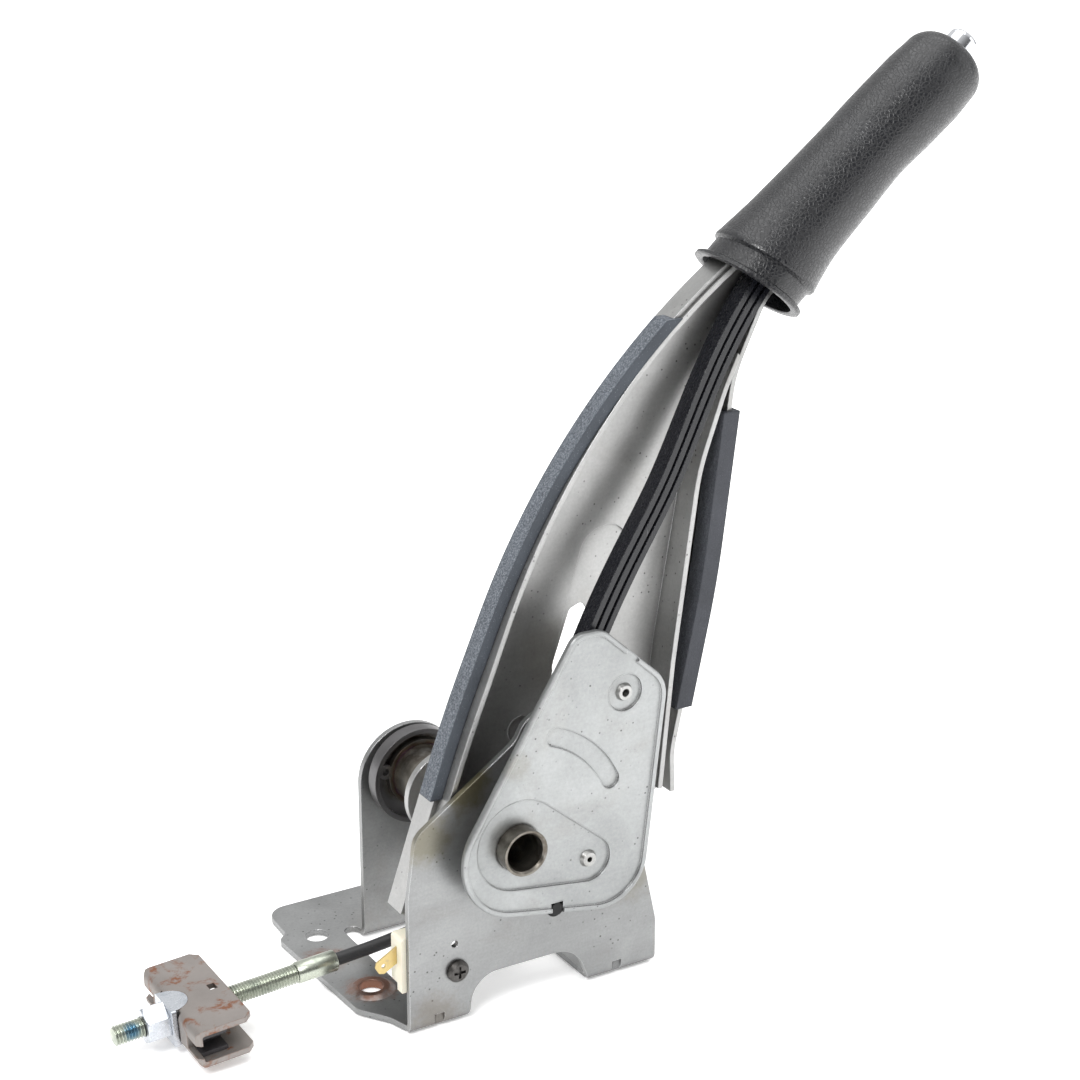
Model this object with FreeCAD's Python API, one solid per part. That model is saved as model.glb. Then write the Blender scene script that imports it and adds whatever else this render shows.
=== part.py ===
"""Parking brake lever: floor bracket, pressed lever with ratchet, grip, button, cable stud and equalizer.

The origin lies on the pivot axis, midway between the side plates. The pivot axis is Y, and +Y runs
from the near side plate to the far one. +X runs towards the grip and +Z is up. Lengths are in mm.
The lever stands at its top notch, as pulled on.
"""

import FreeCAD
import Part
import math
import os

Vec = FreeCAD.Vector

# Bracket
PIVOT_HEIGHT = 74.5
BRACKET_SHEET = 2.5
FOLD_RADIUS = 4.4
NEAR_FACE = -40.0
FAR_FACE = 40.5
BRACKET_FRONT = -41.8
BRACKET_REAR = 70.4
FOOT_LENGTH = 26.0
REAR_FOOT_LENGTH = 31.0
ARCH_HEIGHT = 17.6
FLOOR_FRONT = -55.5
FLOOR_FAR = 76.8
STRIP_REAR = -29.5
FAR_PLATE_RADIUS = 22.5
FAR_PLATE_DROP = 4.6
BOLT_HOLE = 5.0
BOLT_FRONT = -40.6
BOLT_NEAR = -4.0
BOLT_SPACING_X = 94.6
BOLT_SPACING_Y = 50.2
BOLT_DISH = 8.5
JIG_HOLE = 2.2
DISH_RISE = 1.2

# Pivot
TUBE_RADIUS = 9.25
TUBE_BORE = 7.6
TUBE_NEAR_END = -57.2
TUBE_CHAMFER = 0.8
RUNNING_FIT = 0.1
SEAT = 0.02

# Ratchet
TOOTH_PITCH = 3.5
TOOTH_COUNT = 18
TOOTH_FIRST = -24.5
TOOTH_TIP = 50.0
TOOTH_DEPTH = 2.1
SECTOR_INNER = 40.5
SECTOR_SHEET = 3.2
SECTOR_RIVET_RADIUS = 2.6
SECTOR_RIVET_HEAD = 1.2
TOOTH_SLOPE = 0.86
PAWL_ANGLE = 24.5
PAWL_PIN_X = 47.0
PAWL_PIN_Z = 53.7
PAWL_PIN_RADIUS = 4.0
PAWL_THICKNESS = 2.8
PAWL_PIN_NECK = 2.8
PAWL_PIN_TAIL = 3.0
SPRING_WIRE = 1.3
PAWL_ROD_GAP = 1.45
PLATE_GAP = 0.3
PAWL_CLEARANCE = 0.3

# Lever
LEVER_SHEET = 2.0
INNER_WEB_FRONT = -22.5
INNER_EDGE = -36.5
POCKET_DEPTH = 1.4
INNER_EDGE_TOP = -31.0
OUTER_EDGE = -29.5
STOP_PIN_X = 31.4
STOP_PIN_Z = -12.8
STOP_PIN_RADIUS = 3.0
STOP_PIN_NECK = 2.4
STOP_SLOT_FIT = 0.4
LEVER_TRAVEL = 42.0
SLEEVE_WALL = 3.0
DISC_RADIUS = 20.3
DISC_X = -0.5
DISC_Z = -1.5
DISC_START = 28.0
DISC_DEPTH = 6.0
DISC_SHEET = 2.0
DISC_BOSS = 3.0
WASHER_RADIUS = 14.0
WASHER_SHEET = 0.8
TOOLING_HOLE = 5.6

# Cover
COVER_FRONT = -51.7
COVER_SHEET = 1.5
COVER_LIP = 1.1
COVER_LIP_WIDTH = 2.0
COVER_RECESS = 1.3
NOTCH_X = 16.9
NOTCH_TOP = -27.6
NOTCH_WIDTH = 5.4
BUMPER_RADIUS = 3.8

# Trim strips
TRIM_THICKNESS = 2.7
TRIM_DEPTH = 9.0

# Grip
GRIP_FOOT_X = 124.1
GRIP_FOOT_Z = 206.1
GRIP_Y = -26.0
GRIP_ANGLE = 41.7
GRIP_LENGTH = 117.0
CAP_START = 107.0
CAP_RADIUS = 17.0
CAP_ROUND = 10.0
GRIP_BORE = 13.2
GRIP_MOUTH_BORE = 19.7
GRIP_SEAT_BORE = 17.2
MOUTH_TILT = 10.5
MOUTH_RADIUS = 22.2
GRIP_SEAT = 22.0
COLLAR_RADIUS = 23.4
COLLAR_THICKNESS = 2.2
NECK_LENGTH = 8.4
NECK_RADIUS = 20.5
CORE_WALL = 2.0
CORE_LENGTH = 78.0
BUTTON_RADIUS = 6.5
BUTTON_PROUD = 7.5
BUTTON_TRAVEL = 4.0
BUTTON_FIT = 0.2
BUTTON_DROP = 3.4
BUTTON_START = 92.0
BUTTON_EDGE = 2.2
STEM_RADIUS = 3.0
STEM_FOOT_RADIUS = 5.0
STEM_GAP = 0.6

# Release rod
ROD_WIDTH = 9.5
ROD_DEPTH = 8.0
ROD_GROOVE = 1.2

# Cable
ARM_RADIUS = 50.0
ARM_ANGLE = -72.0
ARM_SHEET = 3.0
ARM_GAP = 9.0
CABLE_PIN_RADIUS = 4.0
CABLE_RADIUS = 2.6
STUD_TILT = 3.8
STUD_RADIUS = 3.95
STUD_TIP_X = -147.0
STUD_TIP_Z = -63.4
STUD_LENGTH = 76.0
FERRULE_LENGTH = 17.0
FERRULE_RADIUS = 4.3
CABLE_STRAIGHT = 26.0
FERRULE_SOCKET = 9.0
EYE_SOCKET = 7.0
EYE_WALL = 3.0
EYE_SHANK_WALL = 1.4
PIN_HEAD = 2.0
PIN_HEAD_HEIGHT = 1.2
STUD_CHAMFER = 0.9

# Adjuster and equalizer
NUT_FLATS = 13.0
NUT_THICKNESS = 9.0
NUT_CHAMFER = 1.0
THREAD_FIT = 0.05
NUT_PLACE = 12.3
EQUALIZER_LENGTH = 55.0
EQUALIZER_WIDTH = 23.0
EQUALIZER_HEIGHT = 15.5
EQUALIZER_SHEET = 2.3
EQUALIZER_FOLD = 3.2
EQUALIZER_DROP = 0.8
SADDLE_RADIUS = 7.5
SADDLE_PLATE = 2.0
SADDLE_HALF = 8.6
ROCK_FIT = 0.08
CABLE_SEAT_OFFSET = 19.0
CABLE_SLOT = 5.4
CABLE_SLOT_DROP = 3.8
CABLE_SLOT_SIDE = 2.3
BLOCK_DEPTH = 11.0
BLOCK_WIDTH = 9.0
EQUALIZER_TILT = 8.0

# Switch
SWITCH_WIDTH = 13.0
SWITCH_TOP = -34.0
SWITCH_HEIGHT = 20.8
SWITCH_DEPTH = 8.6
SWITCH_FORWARD = 1.9
BLADE_TILT = 29.0
BLADE_DROP = 8.0
PLUNGER_RADIUS = 2.2
SCREW_X = -21.2
SCREW_Z = -51.8
SCREW_RADIUS = 2.4
SCREW_HEAD = 4.5
SCREW_HEAD_HEIGHT = 2.6
SCREW_REACH = 5.0
RECESS_WIDTH = 1.1
RECESS_LENGTH = 5.0
BLADE_SHEET = 0.8
BLADE_WIDTH = 6.2
BLADE_OUT = 9.6
BLADE_IN = 4.9
BLADE_DEPTH = 4.05
EAR_SHEET = 4.0
EAR_RADIUS = 5.0

FLOOR = -PIVOT_HEIGHT
NEAR_INSIDE = NEAR_FACE + BRACKET_SHEET
FAR_INSIDE = FAR_FACE - BRACKET_SHEET
AXIS_Y = Vec(0, 1, 0)


def polar(radius, degrees):
    """Point (x, z) at a radius and an angle about the pivot."""
    turn = math.radians(degrees)
    return radius * math.cos(turn), radius * math.sin(turn)


def side(u, v):
    """Point of a side view, in the plane of the pivot axis' middle."""
    return Vec(u, 0, v)


def top(u, v):
    """Point of a top view, at the underside of the floor."""
    return Vec(u, v, FLOOR)


def corner_arc(before, here, after, radius):
    """Start, middle and end of the arc that rounds one corner."""
    back = Vec(before[0] - here[0], before[1] - here[1], 0).normalize()
    ahead = Vec(after[0] - here[0], after[1] - here[1], 0).normalize()
    half = back.getAngle(ahead) / 2
    reach = radius / math.tan(half)
    toward = (back + ahead).normalize()
    centre = Vec(here[0], here[1], 0) + toward * (radius / math.sin(half))
    start = Vec(here[0], here[1], 0) + back * reach
    end = Vec(here[0], here[1], 0) + ahead * reach
    return start, centre - toward * radius, end


def rounded_edges(corners, place, closed=True):
    """Edges through corners given as (u, v, radius), with each corner rounded."""
    count = len(corners)
    stations = []
    for index in range(count):
        here = corners[index]
        inside = closed or 0 < index < count - 1
        if inside and len(here) > 2 and here[2] > 0:
            arc = corner_arc(corners[index - 1], here, corners[(index + 1) % count], here[2])
            stations.append([place(point.x, point.y) for point in arc])
        else:
            stations.append([place(here[0], here[1])])
    edges = []
    for index in range(count):
        if len(stations[index]) == 3:
            edges.append(Part.Arc(*stations[index]).toShape())
        if index < count - 1 or closed:
            start = stations[index][-1]
            end = stations[(index + 1) % count][0]
            if start.distanceToPoint(end) > 1e-6:
                edges.append(Part.makeLine(start, end))
    return edges


def shifted(corners, distance):
    """Corners of the line that runs beside an open line, to its right when distance is positive."""
    result = []
    last = len(corners) - 1
    for index, here in enumerate(corners):
        normals = []
        for first, second in ((index - 1, index), (index, index + 1)):
            if first >= 0 and second <= last:
                du = corners[second][0] - corners[first][0]
                dv = corners[second][1] - corners[first][1]
                size = math.hypot(du, dv)
                normals.append((dv / size, -du / size))
        nu = sum(normal[0] for normal in normals)
        nv = sum(normal[1] for normal in normals)
        scale = distance * len(normals) / (nu * nu + nv * nv)
        radius = here[2] if len(here) > 2 else 0
        if radius > 0 and len(normals) == 2:
            turn = normals[0][0] * normals[1][1] - normals[0][1] * normals[1][0]
            radius = radius + math.copysign(distance, turn) if turn > 0 else radius - distance
        result.append((here[0] + nu * scale, here[1] + nv * scale, radius))
    return result


def side_plate(corners, y_start, thickness):
    """Plate with a rounded outline in side view."""
    face = Part.Face(Part.Wire(rounded_edges(corners, side)))
    face.translate(Vec(0, y_start, 0))
    return face.extrude(Vec(0, thickness, 0))


def floor_plate(corners, thickness):
    """Plate on the floor with a rounded outline in top view."""
    face = Part.Face(Part.Wire(rounded_edges(corners, top)))
    return face.extrude(Vec(0, 0, thickness))


def ribbon(corners, thickness, y_start, depth):
    """Wall of even thickness along an open line, to its right."""
    far = shifted(corners, thickness)
    near_edges = rounded_edges(corners, side, closed=False)
    far_edges = rounded_edges(far, side, closed=False)
    cap_start = Part.makeLine(side(far[0][0], far[0][1]), side(corners[0][0], corners[0][1]))
    cap_end = Part.makeLine(side(corners[-1][0], corners[-1][1]), side(far[-1][0], far[-1][1]))
    wire = Part.Wire(Part.__sortEdges__(near_edges + [cap_end] + far_edges + [cap_start]))
    face = Part.Face(wire)
    face.translate(Vec(0, y_start, 0))
    return face.extrude(Vec(0, depth, 0))


def rod_y(radius, x, z, y_start, length):
    """Round bar along the pivot direction."""
    return Part.makeCylinder(radius, length, Vec(x, y_start, z), AXIS_Y)


def ring_y(outer, inner, x, z, y_start, length):
    """Tube along the pivot direction."""
    return rod_y(outer, x, z, y_start, length).cut(rod_y(inner, x, z, y_start - 1, length + 2))


def arc_slot(radius, half_width, first, last, y_start, depth, drop=0.0):
    """Curved slot about the pivot with round ends, as the solid to cut."""
    low = side(*polar(radius - half_width, first))
    high = side(*polar(radius + half_width, first))
    low_end = side(*polar(radius - half_width, last))
    high_end = side(*polar(radius + half_width, last))
    middle = (first + last) / 2
    cap = math.degrees(half_width / radius)
    edges = [
        Part.Arc(low, side(*polar(radius, first - cap)), high).toShape(),
        Part.Arc(high, side(*polar(radius + half_width, middle)), high_end).toShape(),
        Part.Arc(high_end, side(*polar(radius, last + cap)), low_end).toShape(),
        Part.Arc(low_end, side(*polar(radius - half_width, middle)), low).toShape(),
    ]
    face = Part.Face(Part.Wire(edges))
    face.translate(Vec(0, y_start, -drop))
    return face.extrude(Vec(0, depth, 0))


def strap(x1, z1, r1, x2, z2, r2, y_start, depth):
    """Link with two round ends joined by tangent sides."""
    run = math.hypot(x2 - x1, z2 - z1)
    along = math.atan2(z2 - z1, x2 - x1)
    spread = math.acos((r1 - r2) / run)
    points = []
    for turn in (spread, -spread):
        points.append(side(x1 + r1 * math.cos(along + turn), z1 + r1 * math.sin(along + turn)))
        points.append(side(x2 + r2 * math.cos(along + turn), z2 + r2 * math.sin(along + turn)))
    back = side(x1 - r1 * math.cos(along), z1 - r1 * math.sin(along))
    front = side(x2 + r2 * math.cos(along), z2 + r2 * math.sin(along))
    edges = [
        Part.makeLine(points[0], points[1]),
        Part.Arc(points[1], front, points[3]).toShape(),
        Part.makeLine(points[3], points[2]),
        Part.Arc(points[2], back, points[0]).toShape(),
    ]
    face = Part.Face(Part.Wire(edges))
    face.translate(Vec(0, y_start, 0))
    return face.extrude(Vec(0, depth, 0))


def grip_point(u, w):
    """Point (x, z) at u along the grip's axis and w below it."""
    turn = math.radians(GRIP_ANGLE)
    x = GRIP_FOOT_X + u * math.cos(turn) + w * math.sin(turn)
    z = GRIP_FOOT_Z + u * math.sin(turn) - w * math.cos(turn)
    return x, z


def folded_wall(wall_face, direction, x_start, x_end, height, foot):
    """Side wall that turns into the floor at its foot, as a long profile along X.

    The foot runs towards direction from the wall's outer face of the fold.
    """
    outer = FOLD_RADIUS
    inner = FOLD_RADIUS - BRACKET_SHEET
    near = wall_face
    far = wall_face + direction * BRACKET_SHEET
    end = wall_face + direction * foot

    def cross(u, v):
        return Vec(x_start, u, v)

    corners = [
        (near, FLOOR + height),
        (near, FLOOR, outer),
        (end, FLOOR),
        (end, FLOOR + BRACKET_SHEET),
        (far, FLOOR + BRACKET_SHEET, inner),
        (far, FLOOR + height),
    ]
    face = Part.Face(Part.Wire(rounded_edges(corners, cross)))
    return face.extrude(Vec(x_end - x_start, 0, 0))


def near_plate_outline():
    """Side view of the near plate, with the arch between its two feet."""
    arch = FLOOR + ARCH_HEIGHT
    front_foot = BRACKET_FRONT + FOOT_LENGTH
    rear_foot = BRACKET_REAR - REAR_FOOT_LENGTH
    return [
        (BRACKET_FRONT, FLOOR, 1),
        (front_foot, FLOOR, 2.5),
        (front_foot + 2, arch, 12),
        (rear_foot - 7, arch, 14),
        (rear_foot, FLOOR, 2.5),
        (BRACKET_REAR, FLOOR, 2.5),
        (BRACKET_REAR, FLOOR + 20, 20),
        (61, -12, 30),
        (56, 14, 16),
        (41, 42, 24),
        (12, 51, 12),
        (5.2, 38.2, 10),
        (-38.2, 8.5, 9),
        (BRACKET_FRONT, -17, 30),
    ]


def make_bracket():
    """Floor frame with its two side plates, folded from one sheet."""
    foot = FOLD_RADIUS + 4
    near_wall = folded_wall(NEAR_FACE, 1, BRACKET_FRONT - 1, BRACKET_REAR + 1, 140, foot)
    near_wall = near_wall.common(side_plate(near_plate_outline(), NEAR_FACE - 1, foot + 2))

    fold_start = NEAR_FACE + FOLD_RADIUS
    outline = [
        (BRACKET_FRONT, fold_start),
        (BRACKET_FRONT - 2.5, fold_start + 8, 8),
        (FLOOR_FRONT + 3, fold_start + 20, 8),
        (FLOOR_FRONT, FAR_FACE + 10, 4),
        (FLOOR_FRONT + 4.5, FAR_FACE + 14, 4),
        (FLOOR_FRONT + 5.5, FLOOR_FAR, 9),
        (BRACKET_REAR, FLOOR_FAR, 12),
        (BRACKET_REAR, fold_start),
    ]
    floor = floor_plate(outline, BRACKET_SHEET)
    window_far = FAR_INSIDE + FOLD_RADIUS
    rear_strip = BRACKET_REAR - REAR_FOOT_LENGTH
    window = [
        (STRIP_REAR, fold_start - 5),
        (STRIP_REAR, window_far),
        (rear_strip, window_far),
        (rear_strip, fold_start - 5),
    ]
    floor = floor.cut(floor_plate(window, BRACKET_SHEET))

    foot_end = BRACKET_FRONT + FOOT_LENGTH
    front_tab = [
        (STRIP_REAR - 1, fold_start),
        (STRIP_REAR - 1, fold_start + 12),
        (STRIP_REAR, fold_start + 12, 0),
        (foot_end - 2, fold_start + 3, 3),
        (foot_end, fold_start),
    ]
    floor = floor.fuse(floor_plate(front_tab, BRACKET_SHEET))

    half = FAR_PLATE_RADIUS
    far_outline = [
        (-half, FLOOR, 0),
        (half + 8, FLOOR, 0),
        (half, -FAR_PLATE_DROP - 22, 20),
        (half, -FAR_PLATE_DROP),
        (half, half - FAR_PLATE_DROP, half - 0.01),
        (-half, half - FAR_PLATE_DROP, half - 0.01),
    ]
    far_foot = FOLD_RADIUS + 4
    far_wall = folded_wall(FAR_INSIDE, 1, -half - 1, half + 10, 140, far_foot)
    far_wall = far_wall.common(side_plate(far_outline, FAR_INSIDE - 1, far_foot + 2))
    crescent = arc_slot(16.2, 2.3, 42, 138, FAR_INSIDE - 1, BRACKET_SHEET + 2, FAR_PLATE_DROP)
    far_wall = far_wall.cut(crescent)

    relief_half = (-half - STRIP_REAR) / 2
    relief = Part.makeCylinder(relief_half, BRACKET_SHEET, Vec(STRIP_REAR + relief_half, window_far, FLOOR))
    floor = floor.cut(relief.fuse(Part.makeCylinder(
        relief_half, BRACKET_SHEET, Vec(half + 8 + relief_half, window_far, FLOOR))))

    bracket = near_wall.fuse([floor, far_wall])
    for x, y in bolt_places():
        foot = Vec(x, y, FLOOR + BRACKET_SHEET)
        dish = Part.makeCone(BOLT_DISH + DISH_RISE, BOLT_DISH - 1, DISH_RISE, foot)
        if y < 20:
            bracket = bracket.fuse(dish)
        bracket = bracket.cut(Part.makeCylinder(BOLT_HOLE, 20, Vec(x, y, FLOOR - 5)))
    for x in (-29.0, 52.0):
        bracket = bracket.cut(Part.makeCylinder(JIG_HOLE, 7, Vec(x, NEAR_FACE, FLOOR - 1)))

    tube_hole = rod_y(TUBE_RADIUS + SEAT, 0, 0, NEAR_FACE - 1, FAR_FACE - NEAR_FACE + 2)
    bracket = bracket.cut(tube_hole)
    stop_radius = math.hypot(STOP_PIN_X, STOP_PIN_Z)
    stop_angle = math.degrees(math.atan2(STOP_PIN_Z, STOP_PIN_X))
    stop_slot = arc_slot(stop_radius, STOP_PIN_RADIUS + STOP_SLOT_FIT, stop_angle - LEVER_TRAVEL - 0.6,
                         stop_angle + 0.6, NEAR_FACE - 1, BRACKET_SHEET + 2)
    bracket = bracket.cut(stop_slot)
    bracket = bracket.cut(rod_y(1.5, -22.0, -40.3, NEAR_FACE - 1, BRACKET_SHEET + 2))
    bracket = bracket.cut(rod_y(SCREW_RADIUS + SEAT, SCREW_X, SCREW_Z, NEAR_FACE - 1, BRACKET_SHEET + 2))
    return bracket.removeSplitter()


def bolt_places():
    """Centres (x, y) of the four floor bolts."""
    across = (BOLT_FRONT, BOLT_FRONT + BOLT_SPACING_X)
    return [(x, y) for x in across for y in (BOLT_NEAR, BOLT_NEAR + BOLT_SPACING_Y)]


def make_pivot_tube():
    """Hollow pivot that both side plates hold."""
    length = FAR_FACE - TUBE_NEAR_END
    tube = ring_y(TUBE_RADIUS, TUBE_BORE, 0, 0, TUBE_NEAR_END, length)
    mouth = Part.makeCone(TUBE_BORE + TUBE_CHAMFER, TUBE_BORE, TUBE_CHAMFER, Vec(0, TUBE_NEAR_END, 0), AXIS_Y)
    return tube.cut(mouth)


def make_sector():
    """Toothed quadrant on the near plate, with steep faces that hold the pulled lever."""
    last = TOOTH_FIRST + TOOTH_COUNT * TOOTH_PITCH
    root = TOOTH_TIP - TOOTH_DEPTH
    edges = []
    angle = TOOTH_FIRST
    for _ in range(TOOTH_COUNT):
        foot = side(*polar(root, angle))
        rise = side(*polar(TOOTH_TIP, angle + TOOTH_PITCH * TOOTH_SLOPE))
        crest = side(*polar(TOOTH_TIP, angle + TOOTH_PITCH))
        drop = side(*polar(root, angle + TOOTH_PITCH))
        edges.append(Part.makeLine(foot, rise))
        edges.append(Part.makeLine(rise, crest))
        edges.append(Part.makeLine(crest, drop))
        angle += TOOTH_PITCH
    margin = 6.0
    end_outer = side(*polar(root, last + margin))
    end_inner = side(*polar(SECTOR_INNER, last + margin))
    start_inner = side(*polar(SECTOR_INNER, TOOTH_FIRST - margin))
    start_outer = side(*polar(root, TOOTH_FIRST - margin))
    middle = (TOOTH_FIRST + last) / 2
    past_last = side(*polar(root, last + margin / 2))
    edges.append(Part.Arc(side(*polar(root, last)), past_last, end_outer).toShape())
    edges.append(Part.makeLine(end_outer, end_inner))
    edges.append(Part.Arc(end_inner, side(*polar(SECTOR_INNER, middle)), start_inner).toShape())
    edges.append(Part.makeLine(start_inner, start_outer))
    edges.append(Part.Arc(start_outer, side(*polar(root, TOOTH_FIRST - margin / 2)),
                          side(*polar(root, TOOTH_FIRST))).toShape())
    face = Part.Face(Part.Wire(edges))
    face.translate(Vec(0, NEAR_FACE - SECTOR_SHEET, 0))
    sector = face.extrude(Vec(0, SECTOR_SHEET, 0))
    for x, z in sector_rivet_places():
        hole = rod_y(SECTOR_RIVET_RADIUS + SEAT, x, z, NEAR_FACE - SECTOR_SHEET - 1, SECTOR_SHEET + 2)
        sector = sector.cut(hole)
    return sector


def sector_rivet_places():
    """Centres of the three rivets that hold the quadrant."""
    last = TOOTH_FIRST + TOOTH_COUNT * TOOTH_PITCH
    middle = (TOOTH_FIRST + last) / 2
    radius = (SECTOR_INNER + TOOTH_TIP - TOOTH_DEPTH) / 2
    return [polar(radius, angle) for angle in (TOOTH_FIRST - 1, middle, last + 1)]


def make_sector_rivets():
    """Rivets through the quadrant, headed on its front and seated in the near plate."""
    rivets = []
    for x, z in sector_rivet_places():
        shank = rod_y(SECTOR_RIVET_RADIUS, x, z, NEAR_FACE - SECTOR_SHEET, SECTOR_SHEET)
        front = NEAR_FACE - SECTOR_SHEET - SECTOR_RIVET_HEAD
        place = Vec(x, front, z)
        head = Part.makeCone(SECTOR_RIVET_RADIUS, SECTOR_RIVET_RADIUS + 1, SECTOR_RIVET_HEAD, place, AXIS_Y)
        rivets.append(shank.fuse(head))
    return Part.makeCompound(rivets)


def pawl_front():
    """Front face of the pawl."""
    return NEAR_FACE - PLATE_GAP - PAWL_THICKNESS


def rod_direction():
    """Unit direction (x, z) in which the release rod pushes."""
    start = rod_stations()[-2]
    end = rod_stations()[-1]
    du = end[0] - start[0]
    dv = end[1] - start[1]
    size = math.hypot(du, dv)
    return du / size, dv / size


def rod_stations():
    """Centres (x, z, y) of the release rod from the grip down to the pawl."""
    entry = grip_point(stem_foot() - STEM_GAP, -1.2)
    mouth = grip_point(-12, 1.2)
    return [
        (entry[0], entry[1], -27.6),
        (mouth[0], mouth[1], -29.4),
        (92.5, 164.0, -33.0),
        (72.0, 128.5, -37.0),
        (50.5, 98.0, -40.5),
        (38.5, 78.5, -42.2),
        (33.4, 68.6, -42.6),
    ]


def make_pawl():
    """Bell crank with its nose below the pin and its release tail beside it.

    The nose is drawn just clear of the tooth tips, as it passes over them.
    """
    end = rod_stations()[-1]
    du, dv = rod_direction()
    gap = PAWL_ROD_GAP
    half = ROD_WIDTH / 2
    pad_low = (end[0] + du * gap - dv * half, end[1] + dv * gap + du * half)
    pad_high = (end[0] + du * gap + dv * half, end[1] + dv * gap - du * half)
    steep = PAWL_ANGLE
    nose = TOOTH_TIP + PAWL_CLEARANCE
    clear = nose + TOOTH_DEPTH
    slope = TOOTH_PITCH * TOOTH_SLOPE
    pawl = side_plate([
        polar(clear, steep + slope),
        polar(nose, steep + 0.3),
        polar(clear, steep),
        polar(clear + 0.6, steep - 3.2),
        (*polar(clear + 8.5, steep - 2.6), 3),
        (55.0, 40.0, 12),
        (57.4, 52.0, 8),
        (55.0, 64.0, 8),
        (44.0, 64.5, 6),
        (pad_low[0], pad_low[1], 0.8),
        (pad_high[0], pad_high[1], 0.8),
        (pad_high[0] + du * 6, pad_high[1] + dv * 6, 2),
        (38.5, 50.0, 6),
        (43.4, 38.0, 10),
    ], pawl_front(), PAWL_THICKNESS)
    return pawl.cut(rod_y(PAWL_PIN_RADIUS + RUNNING_FIT / 2, PAWL_PIN_X, PAWL_PIN_Z, pawl_front() - 1, 6))


def make_pawl_spring():
    """Coil round the pawl's pin, with one leg hooked on the pawl's tail."""
    wire = SPRING_WIRE
    inner = PAWL_PIN_RADIUS + 0.5
    start = pawl_front() - SEAT
    coil = ring_y(inner + wire - 0.35, inner, PAWL_PIN_X, PAWL_PIN_Z, start - 3 * wire, 3 * wire)
    for turn in range(3):
        front = start - (turn + 1) * wire + 0.25
        ring = ring_y(inner + wire, inner + 0.2, PAWL_PIN_X, PAWL_PIN_Z, front, wire - 0.5)
        coil = coil.fuse(ring)
    leg_start = Vec(PAWL_PIN_X, start - wire / 2, PAWL_PIN_Z + inner + wire / 2)
    leg = Part.makeCylinder(wire / 2 - 0.05, 15, leg_start, Vec(-1, 0, -0.12))
    return coil.fuse(leg)


def outer_left_line():
    """Outer face of the outer channel's front leg, from its foot to the grip."""
    mouth = grip_point(-14, -15.7)
    end = grip_point(GRIP_SEAT, -11.0)
    return [(-39.6, -27.4), (-15.0, 44.3, 460), (34.2, 158.6, 298), (*mouth, 20), end]


def outer_right_line():
    """Outer face of the outer channel's rear leg, from the grip down to its foot."""
    start = grip_point(GRIP_SEAT, 7.5)
    mouth = grip_point(-10, 9.9)
    return [start, (*mouth, 20), (110.4, 165.0, 50), (100.0, 82.0, 400), (85.0, 12.0, 40), (85.7, -5.5)]


def inner_left_line():
    """Outer face of the inner channel's front leg, which lies against the outer channel."""
    return shifted(outer_left_line(), LEVER_SHEET + SEAT)


def inner_right_line():
    """Outer face of the inner channel's rear leg, from the grip down to its foot."""
    start = grip_point(GRIP_SEAT, 7.4 - LEVER_SHEET)
    mouth = grip_point(-10, 9.8 - LEVER_SHEET)
    return [start, (*mouth, 20), (104.5, 160.0, 60), (92.6, 130.0, 80), (80.2, 57.0, 160), (74.9, 1.0)]


def channel(left, right, bottom, web_front, edge, sheet):
    """Pressed channel: a web with a leg along each side, open towards the near plate."""
    outline = left + right + bottom
    web = side_plate(outline, web_front, sheet)
    depth = web_front + sheet - edge
    left_leg = ribbon(left, sheet, edge, depth)
    right_leg = ribbon(right, sheet, edge, depth)
    return web.fuse([left_leg, right_leg])


def slanted_front(edge_low, edge_high, z_low, z_high):
    """Solid to cut from a channel so that its legs get shallower towards the grip."""
    front = -70.0
    points = [
        Vec(-80, front, z_low),
        Vec(-80, edge_low, z_low),
        Vec(-80, edge_high, z_high),
        Vec(-80, edge_high, 260),
        Vec(-80, front, 260),
        Vec(-80, front, z_low),
    ]
    return Part.Face(Part.makePolygon(points)).extrude(Vec(330, 0, 0))


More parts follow.
